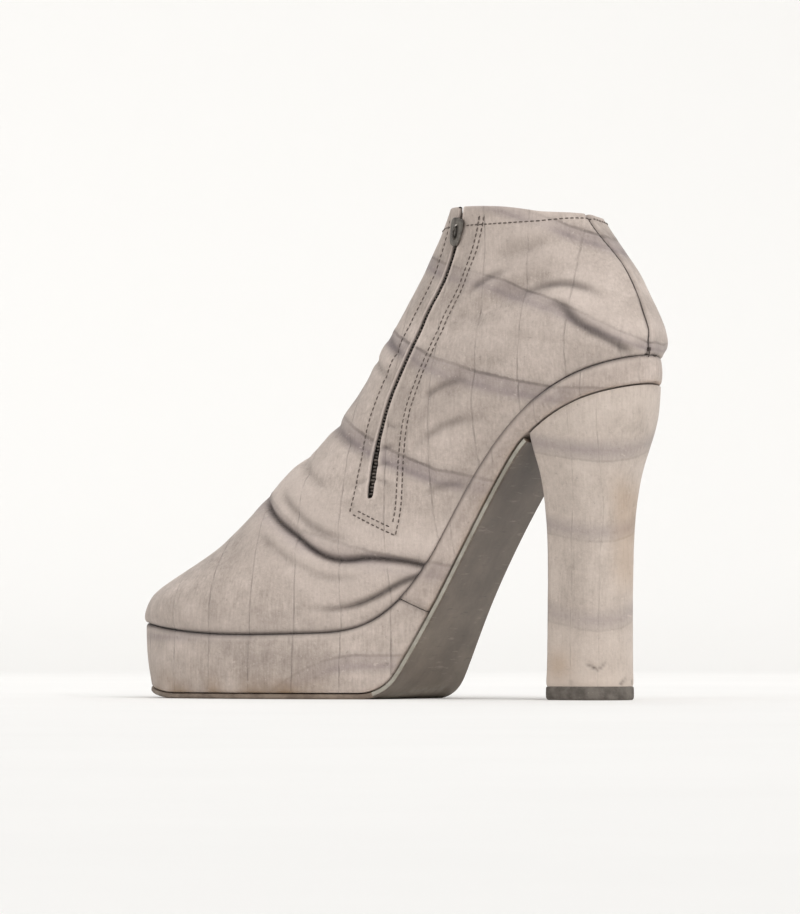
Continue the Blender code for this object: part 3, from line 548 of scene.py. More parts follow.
class Relief:
    """Height of the worn leather over the plain last."""

    PULL, PULL_WIDTH = 0.28, 0.8                      # stitches draw the leather in
    LUMPS = ((0.34, 16.0, 0.0), (0.10, 5.0, 3.0))     # height, size and seed

    def __init__(self) -> None:
        """Keeps the stitch rows."""
        self.rows = [rounded_line(np.array(r), 40) for r in (REAR_ROW, FRONT_ROW, FOOT_ROW)]

    def at(self, points: np.ndarray, side: int,
           near: np.ndarray | float = 1.0) -> tuple[np.ndarray, np.ndarray]:
        """Height and darkness at surface points.

        Args:
            points: (n, 3) points of the plain surface.
            side: +1 medial, -1 lateral.
            near: 0 to 1, how much a fold of one side counts there.

        Returns:
            Height in millimetres and darkness from 0 to 1.
        """
        places = points[:, [0, 2]]
        height, dark = np.zeros(len(points)), np.zeros(len(points))
        for fold in FOLDS:
            if fold.side.value in (0, side):
                share = 1.0 if fold.side is Side.BOTH else near
                rise, deep = fold.height(places)
                height += rise * share
                dark = np.maximum(dark, deep * share)
        if side > 0:
            for row in self.rows:
                far, _ = from_line(places, row)
                height -= self.PULL * bell(far / self.PULL_WIDTH)
        for rise, size, seed in self.LUMPS:
            height += rise * unevenness(points, size, seed)
        return height, np.clip(dark, 0, 1)


def band_level(points: np.ndarray) -> np.ndarray:
    """Count of printed bands below each point: whole numbers on the bands."""
    x, z = points[:, 0], points[:, 2]
    heights = np.array([np.interp(x, BAND_STATIONS, row) for row in BAND_HEIGHTS])
    level = np.zeros(len(points))
    for k in range(len(heights) - 1):
        inside = (z >= heights[k]) | (k == 0)
        level = np.where(inside, k + (z - heights[k]) / (heights[k + 1] - heights[k]), level)
    return level


def check_phase(points: np.ndarray) -> np.ndarray:
    """Count of embossed upright lines behind each point."""
    x = points[:, 0] + 0.9 * np.sin(points[:, 2] / 19.0) + 0.02 * points[:, 1]
    return (x - CHECK_START) / CHECK_PITCH


# ---- Meshes ------------------------------------------------------------------------
class MeshWork:
    """Collects points, faces and point marks of one piece, in millimetres."""

    WELD = 0.0004            # millimetres between points that are one

    def __init__(self, name: str) -> None:
        """Starts an empty piece."""
        self.name = name
        self.points: list[np.ndarray] = []
        self.faces: list[tuple[int, ...]] = []
        self.slots: list[int] = []
        self.marks: dict[str, list[np.ndarray]] = {}
        self.count = 0

    def add(self, points: np.ndarray, **marks: np.ndarray | float) -> int:
        """Adds points.

        Args:
            points: (n, 3) points.
            marks: Point marks, arrays or one value for all.

        Returns:
            Number of the first point in the whole piece.
        """
        first, points = self.count, np.asarray(points, float).reshape(-1, 3)
        self.points.append(points)
        for name in [*self.marks, *(mark for mark in marks if mark not in self.marks)]:
            rows = self.marks.setdefault(name, [np.zeros(first)] if first else [])
            values = np.asarray(marks.get(name, 0.0), float).ravel()
            rows.append(np.broadcast_to(values, len(points)))
        self.count += len(points)
        return first

    def cap(self, *faces: np.ndarray | list[int], slot: int = 0) -> None:
        """Adds faces, each a ring of point numbers; a number that comes twice counts once."""
        for face in faces:
            ring = tuple(dict.fromkeys(int(i) for i in face))
            if len(ring) > 2:
                self.faces.append(ring)
                self.slots.append(slot)

    def grid(self, points: np.ndarray, closed: bool = False, flip: bool = False, slot: int = 0,
             keep: np.ndarray | None = None, **marks: np.ndarray | float) -> np.ndarray:
        """Adds a grid of points (rows, columns, 3).

        Args:
            points: The grid.
            closed: Joins the last column to the first.
            flip: Turns the faces over.
            slot: Material slot.
            keep: (rows - 1, spans) mask of the faces to make.
            marks: Point marks, as for add.

        Returns:
            Numbers of the points, shaped (rows, columns).
        """
        rows, columns = points.shape[:2]
        made = self.add(points, **marks) + np.arange(rows * columns).reshape(rows, columns)
        here = made if closed else made[:, :-1]
        after = np.roll(made, -1, axis=1) if closed else made[:, 1:]
        quads = np.stack([here[:-1], after[:-1], after[1:], here[1:]], axis=-1)
        quads = quads[keep] if keep is not None else quads.reshape(-1, 4)
        quads = quads[:, ::-1] if flip else quads
        self.faces += [tuple(quad) for quad in quads.tolist()]
        self.slots += [slot] * len(quads)
        return made

    def tube(self, path: np.ndarray, radius: float | np.ndarray, sides: int = 6) -> None:
        """Adds a closed round bar along a path."""
        path = np.asarray(path, float)
        along = unit(np.gradient(path, axis=0))
        lead = np.array([0.0, 0.0, 1.0] if abs(along[0, 2]) < 0.9 else [1.0, 0.0, 0.0])
        side = unit(np.cross(along, lead))
        up = np.cross(side, along)
        turn = np.linspace(0, 2 * np.pi, sides, endpoint=False)[None, :, None]
        radius = np.broadcast_to(radius, len(path))[:, None, None]
        ring = path[:, None] + radius * (np.cos(turn) * side[:, None] + np.sin(turn) * up[:, None])
        made = self.grid(ring, closed=True)
        self.cap(made[0][::-1], made[-1])

    def make(self, finishes: list[bpy.types.Material], sharp: float | None = 40.0,
             solid: bool = False) -> bpy.types.Object:
        """Makes the object.

        Args:
            finishes: Materials by slot.
            sharp: Angle in degrees over which an edge stays sharp, or None.
            solid: Welds double points and turns every face outward, for closed pieces.

        Returns:
            The new object, linked to the scene.
        """
        used = np.zeros(self.count, bool)
        used[[i for face in self.faces for i in face]] = True
        number = (np.cumsum(used) - 1).tolist()
        mesh = bpy.data.meshes.new(self.name)
        mesh.from_pydata((np.vstack(self.points)[used] * MM).tolist(), [],
                         [tuple(number[i] for i in face) for face in self.faces])
        mesh.polygons.foreach_set("material_index", self.slots)
        for name, rows in self.marks.items():
            mark = mesh.attributes.new(name, "FLOAT", "POINT")
            mark.data.foreach_set("value", np.concatenate(rows)[used].astype(np.float32))
        if solid:
            work = bmesh.new()
            work.from_mesh(mesh)
            bmesh.ops.remove_doubles(work, verts=work.verts, dist=self.WELD * MM)
            bmesh.ops.recalc_face_normals(work, faces=work.faces)
            work.to_mesh(mesh)
            work.free()
        mesh.validate()
        mesh.shade_smooth()
        if sharp is not None:
            mesh.set_sharp_from_angle(angle=math.radians(sharp))
        for finish in finishes:
            mesh.materials.append(finish)
        made = bpy.data.objects.new(self.name, mesh)
        bpy.context.scene.collection.objects.link(made)
        return made


def settle(piece: bpy.types.Object, slot: str, *replaced: str) -> bpy.types.Object:
    """Lets a piece ride on the boot and hides the CAD parts that it stands for."""
    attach(piece, "root")
    if replaced:
        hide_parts(*replaced)
    log.info("%s: %d faces", piece.name, len(piece.data.polygons))
    return piece


def stitches(work: MeshWork, path: np.ndarray, normals: np.ndarray, pitch: float = 2.2,
             length: float = 1.65, radius: float = 0.26) -> None:
    """Adds a row of lock stitches along a surface path, in millimetres."""
    run = lengths(path)
    # each one rises out of the leather and dives in again, thinner at its ends
    lift = np.array([-0.28, 0.04, 0.14, 0.14, 0.04, -0.28])[:, None]
    girth = radius * np.array([0.55, 0.95, 1.0, 1.0, 0.95, 0.55])
    for start in np.arange(0.3, run[-1] - length, pitch):
        at = start + np.linspace(0, length, len(girth))
        work.tube(read_rows(at, run, path) + unit(read_rows(at, run, normals)) * lift, girth)


# ---- Finishes ------------------------------------------------------------------------
def linear(code: str) -> tuple[float, float, float, float]:
    """Linear colour of an sRGB hex code."""
    parts = [int(code[i:i + 2], 16) / 255 for i in (0, 2, 4)]
    return (*(c / 12.92 if c <= 0.04045 else ((c + 0.055) / 1.055) ** 2.4 for c in parts), 1.0)


def per_metre(size: float) -> float:
    """Texture scale for lumps of a size in millimetres."""
    return 1.0 / (size * MM)


class Surface:
    """A material in the making: its node tree, shader and place on the piece."""

    def __init__(self, name: str, roughness: float, code: str) -> None:
        """Starts the material with one colour and roughness."""
        self.material = bpy.data.materials.new(name)
        self.material.use_nodes = True
        self.material.diffuse_color = linear(code)
        self.shader = self.material.node_tree.nodes["Principled BSDF"]
        self.feed(self.shader, {"Roughness": roughness, "Base Color": linear(code)})
        self.place = self.node("TexCoord"), "Object"

    def feed(self, node: bpy.types.Node, feeds: dict) -> None:
        """Sets or links a node's sockets, as for node."""
        for socket, value in feeds.items():
            if isinstance(value, bpy.types.Node):
                value = value, next(i for i, out in enumerate(value.outputs) if out.enabled)
            if isinstance(value, tuple) and isinstance(value[0], bpy.types.Node):
                self.material.node_tree.links.new(value[0].outputs[value[1]], node.inputs[socket])
            else:
                node.inputs[socket].default_value = value

    def node(self, kind: str, feeds: dict | None = None, stops: tuple = (),
             **settings: object) -> bpy.types.Node:
        """Adds one node with its settings and links.

        Args:
            kind: Type name after "ShaderNode", such as "TexNoise"; for Math and Mix
                with the operation or data type behind it.
            feeds: Socket name or number to a value, a node (its first output in
                use) or a (node, output name) pair.
            stops: Colour ramp stops, (position, grey or hex code).
            settings: Properties of the node.

        Returns:
            The node.
        """
        kind, _, mode = kind.partition(" ")
        node = self.material.node_tree.nodes.new("ShaderNode" + kind)
        if mode:
            settings["operation" if kind == "Math" else "data_type"] = mode
        for name, value in settings.items():
            setattr(node, name, value)
        if stops:
            ramp = node.color_ramp.elements
            while len(ramp) < len(stops):
                ramp.new(0.5)
            for element, (place, tone) in zip(ramp, stops):
                element.position = place
                element.color = linear(tone) if isinstance(tone, str) else (tone, tone, tone, 1.0)
        self.feed(node, feeds or {})
        return node

    def dress(self, colour: bpy.types.Node, rough: bpy.types.Node, relief: bpy.types.Node,
              strength: float, depth: float) -> bpy.types.Material:
        """Links the finished patterns to the shader.

        Args:
            colour: Gives the base colour.
            rough: Gives the roughness.
            relief: Gives the height of the grain.
            strength: Share of that relief.
            depth: Its depth in millimetres.

        Returns:
            The finished material.
        """
        bump = self.node("Bump", {"Height": relief, "Strength": strength, "Distance": depth * MM})
        self.feed(self.shader, {"Base Color": colour, "Roughness": rough, "Normal": bump})
        return self.material


@dataclass(frozen=True)
class Nubuck:
    """Cow leather buffed on its grain side, dyed taupe, embossed and worn.

    It gives the eye a dull, cloudy, warm grey with a fine nap, thin embossed
    upright lines and soft printed purple-grey bands.
    """

    name: str
    light: str = "cfc1b8"
    mid: str = "b2a59c"
    shade: str = "93877f"
    haze_tone: str = "6b6067"
    edge_tone: str = "5c524f"
    line: str = "6e655f"
    # tone of the painted shade in creases and recesses, and of chips
    dark: str = "4c4543"
    stain: str = "a98a68"
    bands: float = 0.95      # strength of the printed bands
    checks: float = 0.42     # strength of the embossed lines
    cloud: float = 26.0      # millimetres across a dye cloud
    patch: float = 7.0       # across a patch of wear
    nap: float = 1.3         # real nap is about 0.2 mm, drawn coarser so that it shows
    # a band's strength across it, in steps of 20 mm from 0.6, upward
    haze: tuple[tuple[float, float], ...] = (
        (0.22, 0.0), (0.33, 0.4), (0.37, 0.7), (0.41, 0.7), (0.47, 0.48), (0.56, 0.48),
        (0.586, 0.84), (0.612, 0.84), (0.64, 0.22), (0.73, 0.0))

    def make(self) -> bpy.types.Material:
        """Makes the material."""
        hide = Surface(self.name, 0.88, self.mid)
        node, place = hide.node, hide.place
        mark = {m: (node("Attribute", attribute_name=m), "Fac")
                for m in ("level", "check", "dark", "rub", "stain", "blind")}
        cloud, patch, nap, grime = (
            node("TexNoise", {"Vector": place, "Scale": per_metre(size), "Detail": detail,
                              "Roughness": rough})
            for size, detail, rough in ((self.cloud, 5.0, 0.62), (self.patch, 4.0, 0.7),
                                        (self.nap, 3.0, 0.75), (2.4, 4.0, 0.7)))
        # brushed fibres lie up the shoe and scratches aslant: noise drawn out that way
        combed = node("Mapping", {"Vector": place, "Scale": (1.0, 1.0, 0.14)})
        slanted = node("Mapping", {"Vector": place, "Rotation": (0.5, 0.6, 0.4),
                                   "Scale": (1.0, 0.12, 1.0)})
        fibre, scratch = (
            node("TexNoise", {"Vector": drawn, "Scale": per_metre(size), "Detail": 2.0})
            for drawn, size in ((combed, 0.9), (slanted, 1.6)))
        blend = node("Math MULTIPLY", {0: cloud, 1: 0.55})
        for part, share in ((patch, 0.28), (nap, 0.22), (fibre, 0.2)):
            blend = node("Math MULTIPLY_ADD", {0: part, 1: share, 2: blend})
        colour = node("ValToRGB", {"Fac": blend}, (
            (0.44, self.shade), (0.62, self.mid), (0.80, self.light)))
        # printed bands: soft on one side, closed by a thin browner line on the other
        level = node("Math MULTIPLY_ADD", {0: patch, 1: 0.05, 2: mark["level"]})
        level = node("Math SUBTRACT", {0: level, 1: 0.025})
        whole = node("Math ROUND", {0: level})
        off = node("Math SUBTRACT", {0: level, 1: whole})
        off = node("Math MULTIPLY_ADD", {0: off, 1: BAND_PITCH / 20, 2: 0.6})
        band = node("ValToRGB", {"Fac": off}, self.haze)
        faded = node("MapRange", {"Value": cloud, "From Min": 0.34, "From Max": 0.6,
                                  "To Min": 0.4 * self.bands, "To Max": self.bands})
        band = node("Math MULTIPLY", {0: band, 1: faded}, use_clamp=True)
        ink = node("ValToRGB", {"Fac": off}, ((0.565, self.haze_tone), (0.588, self.edge_tone)))
        # embossed upright lines, broken by wear
        phase = node("Math MULTIPLY_ADD", {0: patch, 1: 0.05, 2: mark["check"]})
        phase = node("Math PINGPONG", {0: phase, 1: 0.5})
        check = node("MapRange", {"Value": phase, "From Min": 0.45 / CHECK_PITCH,
                                  "From Max": 0.12 / CHECK_PITCH})
        whole = node("MapRange", {"Value": patch, "From Min": 0.38, "From Max": 0.62,
                                  "To Min": 0.15})
        seen = node("Math SUBTRACT", {0: 1.0, 1: mark["blind"]})
        for share in (whole, seen):
            check = node("Math MULTIPLY", {0: check, 1: share})
        pale = node("Math MULTIPLY", {0: check, 1: self.checks})
        # grime specks and short pale scratches of wear
        grime = node("MapRange", {"Value": grime, "From Min": 0.63, "From Max": 0.72,
                                  "To Max": 0.42})
        scratch = node("MapRange", {"Value": scratch, "From Min": 0.66, "From Max": 0.74,
                                    "To Max": 0.4})
        layers = [(band, ink), (pale, linear(self.line)), (grime, linear(self.line)),
                  (scratch, linear(self.light))]
        # rubbed high places, brown stains, and the mark dark: painted shade in creases, seams and
        # recesses, real dark in chips and dents
        for name, code, share in (("rub", self.light, 0.75), ("stain", self.stain, 0.8),
                                  ("dark", self.dark, 0.8)):
            worn = node("Math MULTIPLY_ADD", {0: nap, 1: 0.7, 2: 0.55})
            worn = node("Math MULTIPLY", {0: worn, 1: mark[name]})
            worn = node("Math MULTIPLY", {0: worn, 1: share}, use_clamp=True)
            layers.append((worn, linear(code)))
        for share, tone in layers:
            colour = node("Mix RGBA", {"Factor": share, 6: colour, 7: tone})
        hide.feed(hide.shader, {"Sheen Weight": 0.12, "Sheen Roughness": 0.5,
                                "Specular IOR Level": 0.3})
        rough = node("MapRange", {"Value": nap, "To Min": 0.78, "To Max": 0.97})
        height = node("Math MULTIPLY", {0: nap, 1: 0.45})
        for part, share in ((fibre, 0.3), (patch, 0.5), (check, -1.7 * self.checks)):
            height = node("Math MULTIPLY_ADD", {0: part, 1: share, 2: height})
        return hide.dress(colour, rough, height, 0.7, 0.6)


@dataclass(frozen=True)
class PlainLeather:
    """Vegetable-tanned lining or sock leather, smooth and foot-polished.

    It gives the eye a tan, slightly mottled face with fine pores.
    """

    name: str
    light: str = "c4b195"
    shade: str = "9c8567"
    worn: str = "5d4c3c"
    pore: float = 0.9        # real pores are near 0.2 mm, drawn coarser so that they show

    def make(self) -> bpy.types.Material:
        """Makes the material."""
        hide = Surface(self.name, 0.6, self.light)
        node, place = hide.node, hide.place
        cloud = node("TexNoise", {"Vector": place, "Scale": per_metre(14.0), "Detail": 5.0,
                                  "Roughness": 0.65})
        pore = node("TexVoronoi", {"Vector": place, "Scale": per_metre(self.pore)})
        dark = node("Attribute", attribute_name="dark"), "Fac"
        # the mark dark darkens it: foot wear on the sock, painted shade deep in the lining
        tone = node("Math MULTIPLY_ADD", {0: dark, 1: -0.3, 2: cloud})
        colour = node("ValToRGB", {"Fac": tone}, (
            (0.15, self.worn), (0.4, self.shade), (0.62, self.light)))
        rough = node("MapRange", {"Value": cloud, "To Min": 0.5, "To Max": 0.75})
        return hide.dress(colour, rough, pore, 0.3, 0.15)


@dataclass(frozen=True)
class WornSole:
    """Sole leather: painted and burnished in the waist, ground open at the tread.

    It gives the eye a smooth olive-grey waist with hair scratches and pale
    scuffs, and a rough brown tread of loosened fibre, soot and stones.
    """

    name: str = "sole_leather_painted_and_worn"
    paint: str = "685d53"
    paint_dark: str = "584e45"
    paint_light: str = "7b7064"
    scuffed: str = "a99f93"
    scored: str = "3f3933"
    raw: str = "cfbba3"
    tread: str = "8f7969"
    tread_dark: str = "54463e"
    tread_light: str = "b09a87"
    tread_pale: str = "cdb9a2"
    rust: str = "9a5f49"
    rim: str = "5a4b42"
    stones: tuple[tuple[float, str], ...] = (
        (0.0, "3d332e"), (0.46, "3d332e"), (0.48, "a3705b"), (0.72, "a3705b"), (0.76, "cdbca6"))

    def make(self) -> bpy.types.Material:
        """Makes the material."""
        sole = Surface(self.name, 0.55, self.paint)
        node, place = sole.node, sole.place
        mark = {m: (node("Attribute", attribute_name=m), "Fac")
                for m in ("tread", "scuff", "soot", "rim")}
        # hair scratches and darker scores: noise drawn far out across the waist
        combed = node("Mapping", {"Vector": place, "Scale": (0.9, 0.11, 0.9)})
        cloud, grain, patch, combed = (
            node("TexNoise", {"Vector": where, "Scale": per_metre(size), "Detail": detail,
                              "Roughness": rough})
            for where, size, detail, rough in (
                (place, 18.0, 5.0, 0.6), (place, 2.3, 6.0, 0.72), (place, 3.2, 6.0, 0.75),
                (combed, 1.3, 3.0, 0.6)))
        scratch = node("MapRange", {"Value": combed, "From Min": 0.62, "From Max": 0.74,
                                    "To Max": 0.4})
        score = node("MapRange", {"Value": combed, "From Min": 0.36, "From Max": 0.25,
                                  "To Max": 0.5})
        scuff = node("MapRange", {"Value": patch, "From Min": 0.28, "From Max": 0.66,
                                  "To Max": 0.85})
        scuff = node("Math MULTIPLY", {0: mark["scuff"], 1: scuff})
        # darker up the waist, duller and paler toward the tread
        paint = node("MapRange", {"Value": mark["tread"], "From Min": -75.0, "From Max": -6.0,
                                  "To Min": 0.0, "To Max": 0.3})
        for part, share in ((cloud, 0.85), (grain, 0.2)):
            paint = node("Math MULTIPLY_ADD", {0: part, 1: share, 2: paint})
        paint = node("ValToRGB", {"Fac": paint}, (
            (0.40, self.paint_dark), (0.62, self.paint), (0.88, self.paint_light)))
        for share, code in ((scratch, self.scuffed), (score, self.scored), (scuff, self.scuffed)):
            paint = node("Mix RGBA", {"Factor": share, 6: paint, 7: linear(code)})
        # tread: fibre grains, soot in the middle, pale and reddish specks
        soot = node("Math MULTIPLY", {0: mark["soot"], 1: patch})
        tone = node("Math MULTIPLY_ADD", {0: cloud, 1: 0.3, 2: -0.35})
        for part, share in ((grain, 1.05), (patch, 0.35), (soot, -0.28)):
            tone = node("Math MULTIPLY_ADD", {0: part, 1: share, 2: tone})
        tread = node("ValToRGB", {"Fac": tone}, (
            (0.31, self.tread_dark), (0.46, self.tread), (0.60, self.tread_light),
            (0.74, self.tread_pale)))
        # rust-red tinge in patches, more of it toward the rim
        tinge = node("MapRange", {"Value": cloud, "From Min": 0.5, "From Max": 0.62,
                                  "To Max": 0.22})
        tinge = node("Math MULTIPLY_ADD", {0: mark["rim"], 1: 0.6, 2: tinge}, use_clamp=True)
        tinge = node("Math MULTIPLY", {0: tinge, 1: grain})
        speck = node("TexVoronoi", {"Vector": place, "Scale": per_metre(1.9)})
        chips = node("MapRange", {"Value": speck, "From Min": 0.34, "From Max": 0.22,
                                  "To Max": 0.8})
        speckled = node("SeparateColor", {"Color": (speck, "Color")})
        sparse = node("Math GREATER_THAN", {0: (speckled, "Green"), 1: 0.72})
        chips = node("Math MULTIPLY", {0: chips, 1: sparse})
        fleck = node("ValToRGB", {"Fac": (speckled, "Red")}, self.stones)
        # torn edge between paint and tread, in millimetres ahead of it
        ragged = node("Math SUBTRACT", {0: patch, 1: 0.5})
        ragged = node("Math MULTIPLY_ADD", {0: ragged, 1: 14.0, 2: mark["tread"]})
        torn = node("MapRange", {"Value": ragged, "From Min": -0.6, "From Max": 0.6})
        bared = node("MapRange", {"Value": ragged, "From Min": 2.4, "From Max": 7.5,
                                  "To Min": 1.0, "To Max": 0.0})
        for part, low, high in ((grain, 0.40, 0.52), (cloud, 0.42, 0.56)):
            gaps = node("MapRange", {"Value": part, "From Min": low, "From Max": high,
                                     "To Min": 0.25})
            bared = node("Math MULTIPLY", {0: bared, 1: gaps})
        for share, tone in ((tinge, linear(self.rust)), (chips, fleck),
                            (mark["rim"], linear(self.rim)), (bared, linear(self.raw))):
            tread = node("Mix RGBA", {"Factor": share, 6: tread, 7: tone})
        colour = node("Mix RGBA", {"Factor": torn, 6: paint, 7: tread})
        rough = node("MapRange", {"Value": torn, "To Min": 0.52, "To Max": 0.96})
        rise = node("Math MULTIPLY", {0: grain, 1: torn})
        rise = node("Math MULTIPLY_ADD", {0: scratch, 1: -0.1, 2: rise})
        return sole.dress(colour, rough, rise, 0.8, 0.8)


@dataclass(frozen=True)
class Speckled:
    """A plain coloured stuff with clouds, specks and grain.

    It serves moulded rubber, edge dressing, thread, tape, nylon and paper, each
    with its own colours and grain.
    """

    name: str
    shade: str
    light: str
    roughness: float
    cloud: float = 6.0       # millimetres across a cloud
    grain: float = 0.6       # and across a grain
    relief: float = 0.15     # depth of the grain
    fleck: str = ""
    metallic: float = 0.0
    # far is painted shade: the tone where the mark dark is 1, as on the far floor
    far: str = ""            # tone where the mark "dark" is 1

    def make(self) -> bpy.types.Material:
        """Makes the material."""
        stuff = Surface(self.name, self.roughness, self.light)
        node, place = stuff.node, stuff.place
        stuff.feed(stuff.shader, {"Metallic": self.metallic})
        cloud, grain = (
            node("TexNoise", {"Vector": place, "Scale": per_metre(size), "Detail": detail,
                              "Roughness": rough})
            for size, detail, rough in ((self.cloud, 5.0, 0.65), (self.grain, 3.0, 0.7)))
        colour = node("ValToRGB", {"Fac": cloud}, ((0.38, self.shade), (0.62, self.light)))
        if self.fleck:
            bits = node("TexVoronoi", {"Vector": place, "Scale": per_metre(1.6)})
            bits = node("MapRange", {"Value": bits, "From Min": 0.14, "From Max": 0.06,
                                     "To Max": 0.7})
            bits = node("Math MULTIPLY", {0: bits, 1: cloud})
            colour = node("Mix RGBA", {"Factor": bits, 6: colour, 7: linear(self.fleck)})
        if self.far:
            dark = node("Attribute", attribute_name="dark"), "Fac"
            colour = node("Mix RGBA", {"Factor": dark, 6: colour, 7: linear(self.far)})
        rough = node("MapRange", {"Value": grain, "To Min": max(self.roughness - 0.12, 0.05),
                                  "To Max": min(self.roughness + 0.12, 1.0)})
        return stuff.dress(colour, rough, grain, 0.5, self.relief)


# ---- Upper ------------------------------------------------------------------------
@dataclass
class Upper:
    """Leather upper with its open zip slot, lining and stitching."""

    last: Last
    relief: Relief
    leather: bpy.types.Material
    rows: int = 169
    front_columns: int = 130     # medial side, slot to ridge
    rear_columns: int = 160      # medial side, back to slot
    lateral_columns: int = 213
    slot_half: float = 1.5       # millimetres, as the CAD's slot
    slot_round: float = 2.2      # radius of its lower end
    slot_gape: float = 0.55      # the slot opens this much more low down
    gape_height: float = 12.0    # over the slot's lower end
    gape_spread: float = 9.0
    shut_half: float = 0.3
    seam_off: float = 4.6        # back seam from the heel's middle, medially
    collar_row: float = 0.965    # height of the collar's stitches, share of the rows
    # section of the rolled collar: up, inward
    collar: tuple[tuple[float, float], ...] = (
        (0.30, 0.12), (0.55, 0.5), (0.62, 0.95), (0.5, 1.4), (0.1, 1.75), (-2.8, 1.86))
    # section of a slot lip: toward the other, inward, rubbed, dark (painted shade where it turns
    # into the slot)
    lip: tuple[tuple[float, float, float, float], ...] = (
        (0.0, 0.0, 0.9, 0.0), (0.28, 0.18, 0.9, 0.0), (0.4, 0.7, 0.5, 0.3),
        (0.3, 1.35, 0.0, 0.8), (0.0, 1.8, 0.0, 1.0))
    points: np.ndarray = field(init=False, default=None)
    normals: np.ndarray = field(init=False, default=None)
    open_rows: np.ndarray = field(init=False, default=None)

    def slot_columns(self, v: float) -> tuple[float, float, bool]:
        """Fractions of a row at the slot's two lips, and whether it is open there."""
        line = zip_points(np.linspace(0, 1, 60))
        below = line[0] + unit(line[0] - line[2]) * 60.0
        beyond = line[-1] + unit(line[-1] - line[-3]) * 20.0
        s = np.linspace(0.3, 0.95, 500)
        places, _ = self.last.side_view(1, s, v)
        far, _ = from_line(places, np.vstack([below, line, beyond]))
        cross = int(np.nonzero((far[:-1] > 0) & (far[1:] <= 0))[0][0])
        rise, half = places[cross, 1] - line[0, 1], 0.0
        if rise > 0:
            low = max(1 - rise / self.slot_round, 0)
            half = self.slot_half * math.sqrt(max(1 - low ** 2, 0.0))
            half += self.slot_gape * bell((rise - self.gape_height) / self.gape_spread)
        half = max(half, self.shut_half)
        near = slice(max(cross - 40, 0), cross + 41)
        back, ahead = (float(np.interp(-g, -far[near], s[near])) for g in (half, -half))
        return back, ahead, half > self.shut_half

    def seam_place(self) -> np.ndarray:
        """Millimetres of each row from the heel's middle to the wavering back seam."""
        return self.seam_off + np.sin(np.linspace(0, 1, self.rows) * 9.0)

    def plain(self) -> tuple[np.ndarray, list[np.ndarray]]:
        """Works out the surface of the last as rings from the slot's front lip round the toe.

        Returns:
            The points, and how much a fold of the medial and of the lateral side
            counts at each.
        """
        rings, near, is_open = [], ([], []), []
        ahead_share = np.linspace(0, 1, self.front_columns) ** 1.15
        back_share = 1 - np.linspace(1, 0, self.rear_columns) ** 1.15
        lateral = np.linspace(1, 0, self.lateral_columns + 2)[1:-1]
        for v in np.linspace(0, 1, self.rows):
            back, ahead, opened = self.slot_columns(v)
            front, rear = ahead + (1 - ahead) * ahead_share, back * back_share
            rings.append(np.vstack([self.last.row(1, front, v), self.last.row(-1, lateral, v),
                                    self.last.row(1, rear, v)]))
            fade = [smooth(np.minimum(1 - s, s) / 0.05) for s in (front, lateral, rear)]
            near[0].append(np.concatenate([fade[0], 0 * fade[1], fade[2]]))
            near[1].append(np.concatenate([0 * fade[0], fade[1], 0 * fade[2]]))
            is_open.append(opened)
        self.open_rows = np.array(is_open)
        return np.array(rings), [np.array(rows).ravel() for rows in near]

    def shape(self) -> dict[str, np.ndarray]:
        """Works out the worn outer surface.

        Returns:
            Its point marks.
        """
        points, fades = self.plain()
        flat = points.reshape(-1, 3)
        height, dark = np.zeros(len(flat)), np.zeros(len(flat))
        lateral = np.zeros(points.shape[1], bool)
        lateral[self.front_columns:self.front_columns + self.lateral_columns] = True
        lateral = np.tile(lateral, self.rows)
        for side, chosen, near in ((1, ~lateral, fades[0]), (-1, lateral, fades[1])):
            height[chosen], dark[chosen] = self.relief.at(flat[chosen], side, near[chosen])
        height, dark = height.reshape(points.shape[:2]), dark.reshape(points.shape[:2])
        up = np.gradient(points, axis=0)
        along = np.roll(points, -1, axis=1) - np.roll(points, 1, axis=1)
        normals = unit(np.cross(up, along))
        # folds fade toward the foot and the collar
        tall = np.linspace(0, 1, self.rows)[:, None]
        foot = smooth(tall / 0.035)
        top = 1 - 0.6 * smooth((tall - 0.93) / 0.07)
        height = height * (0.15 + 0.85 * foot) * top
        # leather swells over its seam with the boards below
        above = np.linalg.norm(points - points[:1], axis=2)
        height += 0.6 * above / 2.4 * np.exp(1 - above / 2.4) - 0.3 * bell(above / 0.6)
        # closed back seam, sunk between two soft ridges, with painted shade in its groove
        rear = points[:, -self.rear_columns:]
        steps = np.linalg.norm(np.diff(rear, axis=1, prepend=rear[:, :1]), axis=2)
        far = np.abs(np.cumsum(steps, axis=1) - self.seam_place()[:, None])
        groove = bell(far / 0.95)
        height[:, -self.rear_columns:] += 0.3 * far / 1.8 * np.exp(1 - far / 1.8) - 0.6 * groove
        dark[:, -self.rear_columns:] = np.maximum(dark[:, -self.rear_columns:], 0.55 * groove)
        # slack collar waves, away from the slot
        turn = np.linspace(0, 1, points.shape[1])
        away = smooth((np.minimum(turn, 1 - turn) - 0.09) / 0.1)
        wave = (0.9 * np.sin(turn * 23.0 + 1.0) + 0.6 * np.sin(turn * 41.0)) * away
        loose = smooth((tall - 0.74) / 0.26)
        height += 0.55 * wave[None] * loose
        points[..., 2] -= (0.5 * (wave - wave.min()) * away)[None] * loose ** 2
        # lips of the slot stand a little proud
        lip = np.zeros(points.shape[1])
        lip[:6], lip[-6:] = np.linspace(1, 0, 6), np.linspace(0, 1, 6)
        lip = lip[None] * self.open_rows[:, None]
        height = height + 0.3 * lip
        self.points, self.normals = points + normals * height[..., None], normals
